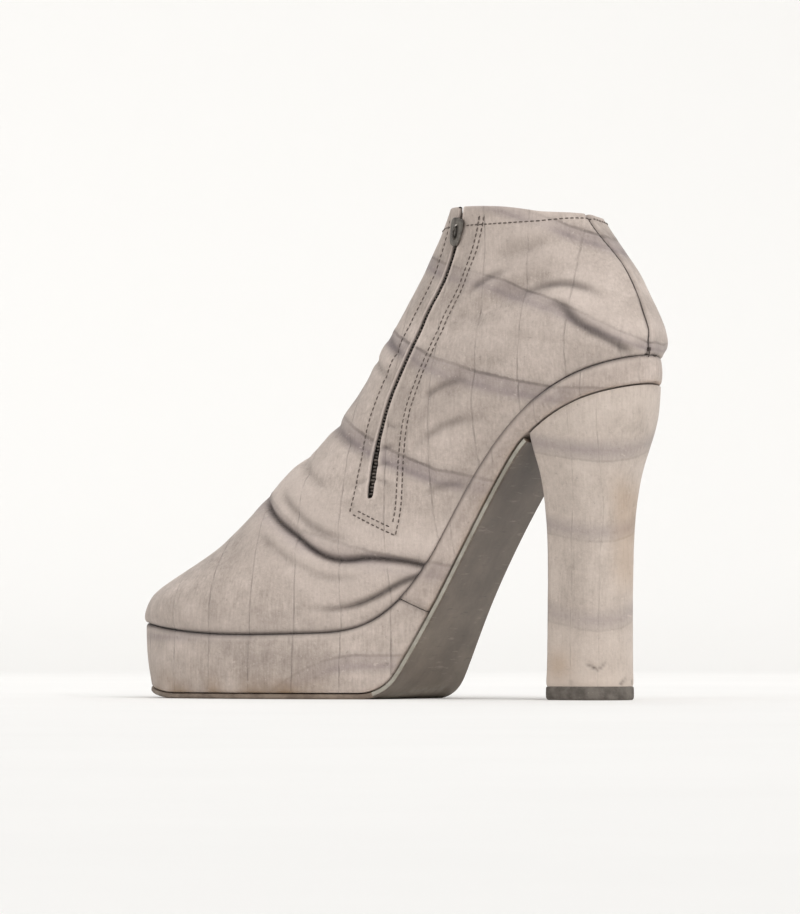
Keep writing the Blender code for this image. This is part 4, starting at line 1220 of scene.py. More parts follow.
        # painted shade along the seam with the boards, under the swell
        seam_shade = 0.9 * bell(above / 0.8) + 0.22 * np.exp(-above / 3.0)
        return {"dark": np.clip(dark + seam_shade, 0, 1),
                "rub": (np.clip(height * 0.45 * (1 - dark), 0, 0.8) + 0.9 * lip
                        + 0.5 * np.exp(-(1 - tall) / 0.012)),
                "blind": smooth((np.abs(normals[..., 0]) - 0.55) / 0.3),
                "level": band_level(flat).reshape(height.shape),
                "check": check_phase(flat).reshape(height.shape)}

    def build(self) -> None:
        """Builds leather, lining and all that is sewn on."""
        marks = self.shape()
        self.skin(marks)
        self.lining()
        self.sew()
        self.back_seam()

    def skin(self, marks: dict[str, np.ndarray]) -> bpy.types.Object:
        """Leather with its tuck under the feather line, rolled collar and slot lips."""
        points, normals = self.points, self.steady()
        rows, columns = points.shape[:2]
        # the foot tucks in square to the feather line
        slope = np.gradient(feather_z(points[0, :, 0] + np.array([[-0.5], [0.5]])), axis=0)[0]
        sink = unit(np.column_stack([slope, 0 * slope, -np.ones(columns)]))
        tuck = points[0] - normals[0] * 0.7 + sink * 0.34
        rolled = [points[-1] - normals[-1] * inward + np.array([0.0, 0.0, rise])
                  for rise, inward in self.collar]
        full = np.concatenate([tuck[None], points, np.array(rolled)])
        stretch = [0] + list(range(rows)) + [rows - 1] * len(rolled)
        keep = self.slot_mask(self.open_rows[stretch], columns)
        work = MeshWork("upper_leather")
        work.grid(full, closed=True, flip=True, keep=keep,
                  **{name: mark[stretch] for name, mark in marks.items()})
        first = int(np.argmax(self.open_rows))
        toward_other, inward, rub, dark = np.array(self.lip).T
        for lip, other, flip in ((0, -1, False), (-1, 0, True)):
            edge = points[first:, lip]
            toward = unit(points[first:, other] - edge)
            strip = (edge[:, None] + toward[:, None] * toward_other[:, None]
                     - normals[first:, lip][:, None] * inward[:, None])
            kept = {name: np.tile(marks[name][first:, lip][:, None], len(self.lip))
                    for name in ("level", "check")}
            work.grid(strip, flip=flip, rub=np.tile(rub, (len(edge), 1)),
                      dark=np.tile(dark, (len(edge), 1)), **kept)
        return settle(work.make([self.leather], sharp=60), "upper_leather", "upper")

    def slot_mask(self, opened: np.ndarray, columns: int) -> np.ndarray:
        """Mask of a grid's faces that leaves the slot open."""
        keep = np.ones((len(opened) - 1, columns), bool)
        keep[:, -1] = ~(opened[:-1] & opened[1:])
        return keep

    def lining(self) -> bpy.types.Object:
        """Lining on the upper's inner face, at half the points."""
        inside = (self.points - self.steady() * (WALL - 0.02))[:, ::2]
        inside = np.concatenate([inside[:-3:2], inside[-4:-3]])
        opened = np.concatenate([self.open_rows[:-3:2], self.open_rows[-4:-3]])
        # painted shade: the lining darkens deeper down the shaft
        deep = np.linspace(0.9, 0.0, len(inside))[:, None] ** 2
        work = MeshWork("upper_lining")
        work.grid(inside, closed=True, keep=self.slot_mask(opened, inside.shape[1]),
                  dark=np.broadcast_to(deep, inside.shape[:2]))
        finish = PlainLeather("lining_leather_vegetable_tanned").make()
        return settle(work.make([finish], sharp=None), "sock_leather")

    def steady(self) -> np.ndarray:
        """Normals, held the same at the foot, where the plan turns in sharply."""
        normals = self.normals.copy()
        normals[:5] = normals[5]
        return normals

    def path(self, places: np.ndarray) -> tuple[np.ndarray, np.ndarray]:
        """Worn surface points and normals under a side-view line of the medial side."""
        spots, normals = (np.array(rows) for rows in
                          zip(*(self.last.frame(x, z) for x, z in places)))
        height, _ = self.relief.at(spots, 1)
        return spots + normals * height[:, None], normals

    def sew(self) -> bpy.types.Object:
        """Lock-stitched rows of placket and collar."""
        work = MeshWork("upper_stitching")
        rear, front = (rounded_line(np.array(row), 160) for row in (REAR_ROW, FRONT_ROW))
        foot = rounded_line(np.array(FOOT_ROW), 40)
        # double rows behind and below, 2 mm apart
        for row in (rear, rear[6:] + np.array([2.0, 0.0]), front, foot,
                    foot[5:-4] + np.array([-0.6, 2.0])):
            stitches(work, *self.path(row))
        # collar row, 3 mm under the edge, from lip to lip round the back and front
        row, ring = int(self.rows * self.collar_row), slice(3, -3)
        stitches(work, self.points[row, ring], self.normals[row, ring])
        thread = Speckled("thread_waxed_polyester", "4b423c", "6f655d", 0.6, 1.5, 0.35, 0.1)
        return settle(work.make([thread.make()], sharp=None), "upper_leather")

    def back_seam(self) -> bpy.types.Object:
        """Closed back seam with its thread end above the rand."""
        work = MeshWork("back_seam")
        spots, normals = [], []
        for row in np.arange(1, self.rows - 2, 2):
            rear, facing = (rows[row, -self.rear_columns:] for rows in (self.points, self.normals))
            run, place = lengths(rear), self.seam_place()[row]
            spots.append(read_rows([place], run, rear)[0])
            normals.append(facing[int(np.searchsorted(run, place))])
        spots, normals = np.array(spots), np.array(normals)
        for _ in range(3):
            spots[1:-1] = (spots[:-2] + 2 * spots[1:-1] + spots[2:]) / 4
        work.tube(spots - normals * 0.06, 0.26, 8)
        # knot of the thread and its loose end
        knot = spots[3] + normals[3] * 0.5
        turn = np.linspace(0, 4.4 * np.pi, 26)[:, None]
        ball = np.hstack([np.cos(turn), np.sin(turn * 0.7), np.sin(turn)]) * [0.55, 0.5, 0.55]
        work.tube(knot + ball, 0.32)
        work.tube(np.array([knot, knot + [-0.6, 1.0, -1.4], knot + [-0.5, 1.6, -3.0]]), 0.22)
        finish = Speckled("seam_thread_dark", "3f3733", "5b514b", 0.7, 1.5, 0.4, 0.1)
        return settle(work.make([finish.make()], sharp=None), "upper_leather")


# ---- Zip ---------------------------------------------------------------------------
@dataclass
class Zip:
    """Woven tape, closed coil and slider behind the slot."""

    last: Last
    tape_half: float = 5.5
    tape_depth: float = WALL + 0.8
    tape_thick: float = 0.9
    coil_half: float = 1.0
    coil_lean: float = 0.28      # each tooth leans the other way
    pitch: float = 1.25
    plate: tuple[tuple[float, float], ...] = (
        (5.4, 2.2), (4.6, 3.5), (2.4, 3.7), (-1.5, 3.0), (-4.2, 2.5), (-5.4, 1.6))
    # layers of the slider's plate: lift, growth
    layers: tuple[tuple[float, float], ...] = (
        (0.6, -0.35), (0.75, 0.0), (1.35, 0.0), (1.62, -0.2), (1.75, -0.6))

    def behind(self, place: np.ndarray, step: np.ndarray, reach: float,
               depth: float) -> np.ndarray:
        """Point at a depth behind the leather's face, laid off along Y."""
        spot, normal = self.last.frame(*(place + reach * step))
        return spot - np.array([0.0, depth / max(normal[1], 0.5), 0.0])

    def build(self) -> None:
        """Builds tape, coil and slider."""
        centre = zip_points(np.linspace(0.012, 0.985, 70))
        half, high = self.tape_half, self.tape_depth
        low = self.tape_depth + self.tape_thick
        # the tape's face steps toward the leather where the coil is sewn on
        section = [(-half, low), (-half, high), (-1.6, high), (-0.9, high - 0.25),
                   (0.9, high - 0.25), (1.6, high), (half, high), (half, low)]
        tape = MeshWork("zip_tape")
        ends = tape.grid(np.array([[self.behind(place, step, *corner) for corner in section]
                                   for place, step in self.crosswise(centre)]), closed=True)
        tape.cap(ends[0], ends[-1][::-1])
        cloth = Speckled("zip_tape_woven_polyester", "3d3733", "5a524c", 0.92, 3.0, 0.5, 0.25)
        settle(tape.make([cloth.make()], 35, True), "zip_tape", "zip")
        coil = MeshWork("zip_coil")
        places = zip_points(np.arange(0.02, 0.972, self.pitch / lengths(centre)[-1]))
        for k, (place, step) in enumerate(self.crosswise(places)):
            lean = self.coil_lean if k % 2 else -self.coil_lean
            bow = [(-self.coil_half + lean, 1.5), (-0.5 + lean, 0.95), (0.5 + lean, 0.95),
                   (self.coil_half + lean, 1.5)]
            coil.tube(np.array([self.behind(place, step, *bend) for bend in bow]),
                      [0.3, 0.42, 0.42, 0.3])
        nylon = Speckled("zip_coil_moulded_nylon", "3a3532", "70675f", 0.45, 2.0, 0.5, 0.05)
        settle(coil.make([nylon.make()], 50), "zip_tape")
        self.slider()

    def crosswise(self, places: np.ndarray) -> zip:
        """Pairs each place with the unit step across the zip there."""
        return zip(places, offset_curve(places, 1.0) - places)

    def slider(self) -> bpy.types.Object:
        """Shield-shaped slider body with its bail, near the collar."""
        where = zip_points([0.90, 0.92, 0.94])
        spot, normal = self.last.frame(*where[1])
        ahead = unit(self.last.point(*where[2]) - self.last.point(*where[0]))
        side = unit(np.cross(normal, ahead))
        ahead = np.cross(side, normal)
        outline = np.array(list(self.plate) + [(a, -s) for a, s in self.plate[::-1]])
        for _ in range(2):            # corners cut to a smooth shield
            after = np.roll(outline, -1, axis=0)
            outline = np.stack([0.75 * outline + 0.25 * after, 0.25 * outline + 0.75 * after],
                               axis=1).reshape(-1, 2)
        work = MeshWork("zip_slider_plate")
        caps = work.grid(np.array([[spot + normal * lift + ahead * a * (1 + grow / 6)
                                    + side * s * (1 + grow / 3.6) for a, s in outline]
                                   for lift, grow in self.layers]), closed=True)
        work.cap(caps[0], caps[-1][::-1])
        work.tube(np.array([spot + normal * (1.5 + 1.35 * math.sin(t)) + ahead * 2.6 * math.cos(t)
                            for t in np.linspace(0, np.pi, 9)]), 0.55, 8)
        metal = Speckled("slider_zinc_die_cast_nickel_plated", "5a5652", "807b75", 0.36, 3.0, 0.7,
                         0.04, metallic=1.0)
        return settle(work.make([metal.make()], 35, True), "zip_metal", "zip_slider")


# ---- Boards, sole and heel -----------------------------------------------------------
def under_curve(count: int = 5000) -> np.ndarray:
    """Lower face of the covered boards: seat over the heel, then over the outsole."""
    over_sole = offset_curve(sole_curve(), OUTSOLE_THICK + FIT)
    feather = feather_curve(-FIT, 400, before=RAND_OVERHANG)
    start = int(np.argmin(((feather - over_sole[0]) ** 2).sum(axis=1)))
    end_thick = np.linalg.norm(feather[start] - over_sole[0])
    seat = feather[:start]
    blend = np.arange(start) / start
    depth = SEAT_THICK + (end_thick - SEAT_THICK) * blend ** 1.5
    along = unit(np.gradient(seat, axis=0))
    seat = seat - depth[:, None] * np.column_stack([-along[:, 1], along[:, 0]])
    seat[:, 0] += 2.6 * (1 - blend) ** 2
    keep = seat[:, 0] < over_sole[0, 0] - 0.5
    return resample(np.vstack([seat[keep], over_sole]), np.linspace(0, 1, count))


@dataclass
class CoveredBoard:
    """A board covered in leather, from one rung of the shoe to another."""

    name: str
    node: str
    leather: bpy.types.Material
    outset: float
    crown: float
    ahead_of_seam: bool
    rungs: int = 300
    round_top: float = 1.1
    round_bottom: float = 0.8
    stations: int = 18
    ease: float = 22.0           # length over which the lower edge changes its course
    seam_sink: float = 0.38      # the covers sink into their seam

    def rails(self) -> list[np.ndarray]:
        """Edges of both sides, (n, 3) each: medial upper and lower, lateral upper and lower."""
        # rungs stand square to the boards: each upper point has the nearest lower one,
        # and ahead of the seam the lower ones are spread evenly to the tip
        over = feather_curve(-FIT, 1200, before=RAND_OVERHANG, after=WRAP_OVERHANG)
        under = under_curve()
        at = over[0, 0] + (over[-1, 0] - over[0, 0]) * eased(self.rungs)
        seam = x_at(SEAM_ALONG)
        cut = int(np.argmin(abs(at - seam)))
        at[cut] = seam
        top = np.column_stack([at, np.interp(at, over[:, 0], over[:, 1])])
        found = [int(np.argmin(((under - p) ** 2).sum(axis=1))) for p in top[:cut + 1]]
        ahead = lengths(top[cut:])
        found += [int(found[-1] + (len(under) - 1 - found[-1]) * f) for f in ahead[1:] / ahead[-1]]
        part = slice(cut, None) if self.ahead_of_seam else slice(None, cut + 1)
        top, bottom = top[part].copy(), under[found][part].copy()
        edge, beside = (0, 1) if self.ahead_of_seam else (-1, -2)
        gap = unit(top[beside] - top[edge]) * FIT / 2
        top[edge] += gap
        bottom[edge] += gap
        # the lower edge reaches as far out as the sole's tip or the heel's back
        medial, lateral = plan_outline(self.outset)
        low_x = bottom[:, 0].copy()
        if self.ahead_of_seam:
            out, near = TIP_X + 0.5 - low_x[-1], low_x - low_x[-1] + self.ease
        else:
            out, near = medial[0, 0] - low_x[0], low_x[0] + self.ease - low_x
        low_x += out * smooth(near / self.ease) ** 2
        # from the seat's width over the heel to the sole's
        mix = smooth((bottom[:, 0] + 2.0) / self.ease)
        shrink = 0.9 * smooth((low_x - medial[0, 0]) / 4.0)
        rails = []
        for plan, sole, sign in zip((medial, lateral), sole_edges(low_x, 0.5), (1, -1)):
            seat = read_edge(plan, low_x) - sign * shrink
            rails += [np.column_stack([top[:, 0], read_edge(plan, top[:, 0]), top[:, 1]]),
                      np.column_stack([bottom[:, 0], seat + (sole - seat) * mix, bottom[:, 1]])]
        return rails

    def build(self) -> bpy.types.Object:
        """Builds the covered board."""
        top_m, low_m, top_l, low_l = self.rails()
        pairs = (top_m, top_l), (low_m, low_l)
        if self.ahead_of_seam:        # ring starts and ends at the seam, round the toe
            upper, lower = (np.vstack([one, other[::-1][1:]]) for one, other in pairs)
        else:                         # round the back of the heel
            upper, lower = (np.vstack([other[::-1], one[1:]]) for one, other in pairs)
        along, down = np.gradient(upper, axis=0), lower - upper
        outward = unit(np.cross(along, down))
        middle = np.array([x_at(0.45), 0.0, 0.0])
        if (outward * (upper - middle))[:, :2].sum(axis=1).mean() < 0:
            outward = -outward
        tall, rise, run = np.linalg.norm(down, axis=1), eased(self.stations), lengths(upper)
        to_seam = np.minimum(run, run[-1] - run)
        rings = []
        for q in rise:
            out = self.crown * 4 * q * (1 - q) * np.ones(len(upper))
            for size, far in ((self.round_top, q * tall), (self.round_bottom, (1 - q) * tall)):
                near = np.clip(1 - far / size, 0, 1)
                out -= size * 0.8 * (1 - np.sqrt(1 - near ** 2))
            out -= self.seam_sink * np.clip(1 - to_seam / 0.9, 0, 1) ** 2
            rings.append(upper + down * q + outward * out[:, None])
        wall = np.array(rings)
        flat = wall.reshape(-1, 3)
        soft = 0.13 * unevenness(flat, 13.0, 7.0) + 0.05 * unevenness(flat, 4.0, 2.0)
        inner = np.clip(np.minimum(rise, 1 - rise) / 0.15, 0, 1)[:, None]
        wall = wall + outward[None] * (soft.reshape(wall.shape[:2]) * inner)[..., None]
        work = MeshWork(self.name)
        numbers = work.grid(wall, **self.marks(wall, rise[:, None] * tall, tall, to_seam))
        size = len(top_m)
        for row, flip in ((0, False), (-1, True)):
            edge = numbers[row]
            left = edge[:size] if self.ahead_of_seam else edge[size - 1:]
            right = edge[size - 1:][::-1] if self.ahead_of_seam else edge[:size][::-1]
            for i in range(size - 1):
                face = [left[i], left[i + 1], right[i + 1], right[i]]
                work.cap(face[::-1] if flip else face)
        work.cap([*numbers[:, 0], *numbers[::-1, -1]])
        return settle(work.make([self.leather], 45, True), "cover_leather", self.node)

    def marks(self, wall: np.ndarray, above: np.ndarray, tall: np.ndarray,
              to_seam: np.ndarray) -> dict[str, np.ndarray]:
        """Point marks of the wall.

        Args:
            wall: Its points, (rows, columns, 3), upper edge first.
            above: Millimetres of each point from the upper edge.
            tall: Height of the wall at each column.
            to_seam: Millimetres of each column to the seam of the two covers.

        Returns:
            The marks.
        """
        flat, below = wall.reshape(-1, 3), tall - above
        level = band_level(flat)
        if self.ahead_of_seam:        # the platform cover shows one soft band, near the seam
            lift = np.maximum(16.5 - 0.011 * (flat[:, 0] - 84.0).clip(0) ** 2, -5.0)
            level = 1 + (flat[:, 2] - lift) / BAND_PITCH
        grime = 0.85 * self.ahead_of_seam * smooth((wall[..., 0] - 86.0) / 25.0)
        patchy = (0.4 + 0.8 * unevenness(flat, 9.0, 4.0).reshape(above.shape)).clip(0, 1)
        return {
            "level": level,
            "check": check_phase(flat) + (0.0 if self.ahead_of_seam else 0.31),
            # dark: painted shade along the upper edge under the upper's swell and at the seam of
            # the two covers, and darker along the lower edge round the toe
            "dark": np.clip(0.45 * np.exp(-to_seam / 0.7) + 0.8 * bell(above / 0.7)
                            + 0.2 * np.exp(-above / 2.0) + 0.5 * np.exp(-below / 3.5)
                            * smooth((wall[..., 0] - 168.0) / 24.0), 0, 1),
            "rub": 0.45 * bell((above - 1.8) / 1.0) + 0.35 * np.exp(-(below / 1.2)),
            "stain": (0.7 * np.exp(-below / 0.9) + grime * bell(below / 7.0)) * patchy}


@dataclass
class Outsole:
    """Thin leather sole: painted waist, dressed edge and worn tread."""

    rungs: int = 330
    stations: int = 64
    # section of the edge: share of the thickness, outward
    section: tuple[tuple[float, float], ...] = (
        (0.0, -0.35), (0.12, 0.0), (0.55, 0.05), (0.78, -0.12), (1.0, -0.7))
    bevel_row: int = 3           # row of the section where the bevel starts
    waist_end: float = 80.0      # the edge is pale behind this X
    # lines on the lower face in plan: the tread's start (across, along), the
    # waist's scuff and the soot under the ball (along, across)
    torn_edge: tuple[tuple[float, float], ...] = (
        (-33.0, 84.5), (-23.7, 86.7), (-9.2, 92.1), (5.2, 97.4), (17.7, 99.2), (24.9, 102.2),
        (34.0, 108.5))
    scuff_line: tuple[tuple[float, float], ...] = (
        (76.5, -20.0), (77.0, -14.0), (78.9, 1.9), (83.1, 18.0), (86.0, 23.0))
    soot_line: tuple[tuple[float, float], ...] = ((99.0, 12.0), (108.0, 0.0), (128.0, -2.0))

    def wall(self) -> np.ndarray:
        """Points of the edge, (rows, columns, 3), from the medial breast round the toe."""
        curve = sole_curve()
        # rungs close up toward the toe tip
        share = np.linspace(0, 1, self.rungs)
        share = np.where(share < 0.8, share * 1.12,
                         0.896 + 0.104 * np.sin((share - 0.8) / 0.2 * np.pi / 2))
        low = resample(curve, share)
        high = resample(offset_curve(resample(curve, np.linspace(0, 1, 2000)), OUTSOLE_THICK),
                        share)
        close = (TIP_X - low[-1, 0]) * smooth((share - 0.9) / 0.1)
        medial, lateral = sole_edges(low[:, 0] + close)
        # medial side, then the lateral one back from the tip
        upper, lower = (
            np.vstack([np.column_stack([view[:, 0], medial, view[:, 1]]),
                       np.column_stack([view[:, 0], lateral, view[:, 1]])[::-1][1:]])
            for view in (high, low))
        down = lower - upper
        outward = unit(np.cross(np.gradient(upper, axis=0), down))
        if outward[self.rungs // 3, 1] < 0:
            outward = -outward
        wall = np.array([upper + down * q + outward * out for q, out in self.section])
        wall[..., 2] = wall[..., 2].clip(min=FLOOR_GAP)
        return wall

    def build(self) -> bpy.types.Object:
        """Builds the sole."""
        wall, size, turn = self.wall(), self.rungs, self.bevel_row
        work = MeshWork("outsole_leather")
        # pale edge along the waist over a painted bevel, worn off round the tread
        waist = (wall[:-1, :-1, 0] + 1.5 * np.sin(wall[:-1, :-1, 1])) < self.waist_end
        work.grid(wall[:turn + 1], slot=1, keep=~waist[:turn])
        work.grid(wall[turn:], slot=1, keep=~waist[turn:], tread=40.0, rim=0.7)
        edge = np.vstack([work.grid(wall[:turn + 1], slot=2, keep=waist[:turn]),
                          work.grid(wall[turn:], keep=waist[turn:], tread=-60.0)[1:]])
        for i in range(size - 1):     # hidden upper face
            work.cap([edge[0, i], edge[0, i + 1], edge[0, 2 * size - 3 - i],
                      edge[0, 2 * size - 2 - i]])
        # lower face, with the tread's worn relief
        left, right = wall[-1, :size], wall[-1, size - 1:][::-1]
        t = eased(self.stations)[None, :, None]
        face = left[:, None] * (1 - t) + right[:, None] * t
        flat = face.reshape(-1, 3)
        ahead = flat[:, 0] - np.interp(flat[:, 1], *np.array(self.torn_edge).T)
        rough = 0.5 + 0.5 * (0.6 * unevenness(flat, 1.9, 5.0) + 0.4 * unevenness(flat, 5.0, 8.0))
        inside = np.minimum(*(np.linalg.norm(face - side[:, None], axis=2)
                              for side in (left, right))).ravel()
        worn = smooth((ahead + 3.0 * unevenness(flat, 4.0, 1.0)) / 3.0)
        lift = worn * (0.25 + 0.45 * rough) * smooth(inside / 1.5)
        lift += np.abs((1 - worn) * 0.12 * unevenness(flat, 12.0, 6.0) * smooth(inside / 3.0))
        flat = flat + lift[:, None] * np.array([0.0, 0.0, 1.0])
        flat[:, 2] = flat[:, 2].clip(min=FLOOR_GAP)
        scuff, across = from_line(flat[:, :2], np.array(self.scuff_line))
        scuff = (0.95 + 0.4 * across) * bell(scuff / (2.6 + 1.4 * across ** 3))
        soot, _ = from_line(flat[:, :2], np.array(self.soot_line))
        numbers = work.grid(flat.reshape(face.shape), tread=ahead, scuff=scuff,
                            soot=bell(soot / 12.0), rim=0.7 * np.exp(-inside / 2.4) * worn)
        work.cap([*edge[:, 0], *numbers[0, 1:-1], *edge[::-1, -1]], slot=1)
        brown = Speckled("edge_dressing_taupe_wax", "6f6054", "8a7b6d", 0.6, 5.0, 0.7, 0.15)
        pale = Speckled("edge_line_grey_green_wax", "8e897e", "aeaa9f", 0.5, 9.0, 0.8, 0.12)
        made = work.make([WornSole().make(), brown.make(), pale.make()], 50, True)
        return settle(made, "sole_leather", "outsole")


def heel_ring(row: np.ndarray, stations: int) -> np.ndarray:
    """Closed ring of the heel at one level, in plan, from the back round the medial side."""
    _, back, breast, half, breast_half, middle, roundness, turn = row
    widest, corner = back + (breast - back) * 0.56, 1.3       # and radius at the breast
    around = np.linspace(0.0, 0.5, stations) * np.pi
    places = np.concatenate([
        back + (widest - back) * (1 - np.cos(around)),
        np.linspace(widest, breast - corner, 8)[1:],
        breast - corner * (1 - np.sin(np.linspace(0.2, 1.0, 6) * np.pi / 2))])
    behind = np.clip((widest - places) / (widest - back), 0, 1)
    ahead = np.clip((places - widest) / (breast - widest), 0, None)
    width = half * (1 - behind ** roundness) ** (1 / roundness) + (breast_half - half) * ahead ** 2
    round_off = np.clip((places - breast + corner) / corner, 0, 1)
    width -= corner * (1 - np.sqrt(1 - round_off ** 2))
    ring = np.vstack([np.column_stack([places, middle + width]),
                      np.column_stack([places, middle - width])[::-1][:-1]])
    angle = math.radians(HEEL_TURN * turn)
    turned = np.array([[math.cos(angle), -math.sin(angle)], [math.sin(angle), math.cos(angle)]])
    return ring @ turned.T


@dataclass
class Heel:
    """Leather-covered block heel and its rubber top piece."""

    leather: bpy.types.Material
    layers: int = 110
    stations: int = 44
    # scored lines and chips in the cover
    dents: tuple[tuple[tuple[float, float, float], ...], ...] = (
        ((-2.4, 13.4, 13.1), (-4.0, 13.2, 12.7), (-5.6, 12.8, 11.8), (-6.9, 12.3, 11.2),
         (-8.2, 11.4, 12.2), (-9.4, 10.3, 14.2)),
        ((-13.2, 1.6, 8.3), (-12.9, 3.0, 7.2), (-12.3, 4.4, 6.5), (-11.6, 5.8, 6.1)))
    chips: tuple[tuple[float, float, float, float], ...] = (
        (-12.5, 4.3, 6.0, 1.0), (3.4, 13.6, 6.4, 0.6), (-13.2, -3.6, 6.6, 1.0))
    bands: tuple[float, ...] = (-5.0, 25.3, 58.0, 87.5, 121.0)    # heights of its bands
    # section of the top piece: height, growth, share of its nicks
    rubber: tuple[tuple[float, float, float], ...] = (
        (0.0, -1.0, 0.0), (0.05, -0.55, 0.6), (0.35, -0.15, 1.0), (0.9, 0.06, 1.0),
        (2.4, 0.12, 0.5), (4.2, 0.1, 0.3), (4.75, 0.0, 0.0), (5.0, -0.3, 0.0))

    def block(self) -> np.ndarray:
        """Points of the plain block, (layers, ring, 3)."""
        under, table = under_curve(1500), np.array(HEEL)
        levels, base = np.linspace(0, 1, self.layers), TOP_PIECE_THICK + 0.04
        rings = []
        for level, row in zip(levels, spline_rows(table[:, 0], table, levels)):
            ring = heel_ring(row, self.stations)
            seat = np.interp(ring[:, 0], under[:, 0], under[:, 1]) - FIT * 1.35
            rings.append(np.column_stack([ring, base + level * (seat - base)]))
        return np.array(rings)

    def wear(self, flat: np.ndarray) -> tuple[np.ndarray, np.ndarray]:
        """Height and darkness of dents, chips and unevenness at points of the block."""
        height, dark = np.zeros(len(flat)), np.zeros(len(flat))
        for dent in self.dents:
            far, share = from_line(flat, np.array(dent))
            depth = np.sin(np.pi * (0.06 + 0.88 * share)) * (1 + 0.4 * unevenness(flat, 2.0, 3.0))
            height += depth * (0.2 * bell((far - 1.5) / 0.7) - 0.5 * bell(far / 0.6))
            dark = np.maximum(dark, (0.95 * depth).clip(0, 1) * bell(far / 0.5))
        for *spot, size in self.chips:
            away = np.linalg.norm((flat - np.array(spot)) * [1.0, 1.0, 1.5], axis=1)
            chip = bell(away * (1 + 0.45 * unevenness(flat, 1.3, 9.0)) / size)
            height -= 0.6 * chip
            dark = np.maximum(dark, 0.95 * chip)
        height += 0.16 * unevenness(flat, 15.0, 11.0) + 0.05 * unevenness(flat, 4.5, 12.0)
        return height, dark

    def build(self) -> None:
        """Builds block and top piece."""
        block = self.block()
        along = np.roll(block, -1, axis=1) - np.roll(block, 1, axis=1)
        outward = unit(np.cross(np.gradient(block, axis=0), along))
        if outward[5, self.stations, 1] < 0:
            outward = -outward
        outward, flat = outward.reshape(-1, 3), block.reshape(-1, 3)
        height, dark = self.wear(flat)
        foot = flat[:, 2] - TOP_PIECE_THICK - 0.04
        head = (under_curve(1500)[0, 1] - flat[:, 2]).clip(0)
        flat = flat + outward * (height - 0.35 * np.exp(-foot / 0.5))[:, None]
        # bands sag a little over the medial corner of the back
        corner = 14.2 + 3.2 * smooth((flat[:, 2] - 60.0) / 30.0)
        sag = (corner + 0.49 * flat[:, 0] - 0.87 * flat[:, 1]).clip(0, 12)
        back = bell((flat[:, 0] + 14.5) / 3.0)
        marks = {
            # turned over: the haze lies above the thin line here
            "level": -np.interp(flat[:, 2] - 0.35 * sag, self.bands, range(len(self.bands))),
            "check": (flat[:, 0] + 4.0 + flat[:, 2] * 0.03
                      + 1.3 * unevenness(flat, 22.0, 15.0)) / 11.0 + 0.2,
            # dark: dents and chips, and painted shade just under the seat
            "dark": np.clip(dark + 0.5 * np.exp(-head / 0.6), 0, 1),
            "rub": 0.85 * np.exp(-foot / 9.0) + 0.3,
            # brown up the back, on the medial breast side and round the foot
            "stain": 0.45 * back * smooth((foot - 30) / 12) * smooth((82 - foot) / 14)
            + 0.45 * np.exp(-((flat[:, 0] - 9) ** 2 + (foot - 8) ** 2) / 30.0)
            + 0.16 * np.exp(-foot / 9.0),
            "blind": smooth((np.abs(outward[:, 0]) - 0.6) / 0.25)}
        work = MeshWork("heel_cover")
        numbers = work.grid(flat.reshape(block.shape), closed=True, **marks)
        work.cap(numbers[0][::-1], numbers[-1])
        settle(work.make([self.leather], 40, True), "heel_leather", "heel")
        self.top_piece()

    def top_piece(self) -> bpy.types.Object:
        """Moulded rubber top piece, scuffed round its lower edge."""
        layers = []
        for height, grow, _ in self.rubber:
            row = np.array(HEEL[0]) + np.array([0.0, -grow, grow, grow, grow, 0.0, 0.0, 0.0])
            ring = heel_ring(row, self.stations)
            layers.append(np.column_stack([ring, np.full(len(ring), height)]))
        body = np.array(layers)
        nick = 0.12 * unevenness(body.reshape(-1, 3), 2.6, 21.0).reshape(body.shape[:2])
        body[..., :2] *= 1 + (nick * np.array(self.rubber)[:, 2:] / 13.0)[..., None]
        work = MeshWork("heel_top_piece")
        foot = work.grid(body[:3], closed=True, slot=2)
        numbers = np.vstack([foot, work.grid(body[2:], closed=True)[1:]])
        # tread face with shallow pits, drawn in rings toward the middle
        centre = body[0].mean(axis=0)
        shrink = np.linspace(1.0, 0.03, 16)
        rings = centre + (body[0] - centre)[None] * shrink[:, None, None]
        pits = 0.09 * (0.5 + 0.5 * unevenness(rings.reshape(-1, 3), 2.2, 30.0))
        rings[..., 2] += pits.reshape(rings.shape[:2]) * smooth((1 - shrink) / 0.1)[:, None]
        inner = work.grid(rings[1:], closed=True, flip=True, slot=1)
        for i in range(body.shape[1]):
            n = (i + 1) % body.shape[1]
            work.cap([numbers[0, i], inner[0, i], inner[0, n], numbers[0, n]], slot=1)
        work.cap(inner[-1], slot=1)
        work.cap(numbers[-1])
        rubber = Speckled("top_piece_moulded_rubber", "544e48", "716a63", 0.85, 5.0, 0.9, 0.4,
                          fleck="a8a198")
        ground = Speckled("top_piece_rubber_worn_face", "57504a", "6f6760", 0.9, 6.0, 0.7, 0.5,
                          fleck="b3aba1")
        scuffed = Speckled("top_piece_rubber_scuffed_edge", "68615a", "857d74", 0.9, 3.0, 0.7, 0.4)
        return settle(work.make([rubber.make(), ground.make(), scuffed.make()], 45, True),
                      "heel_rubber", "top_piece")


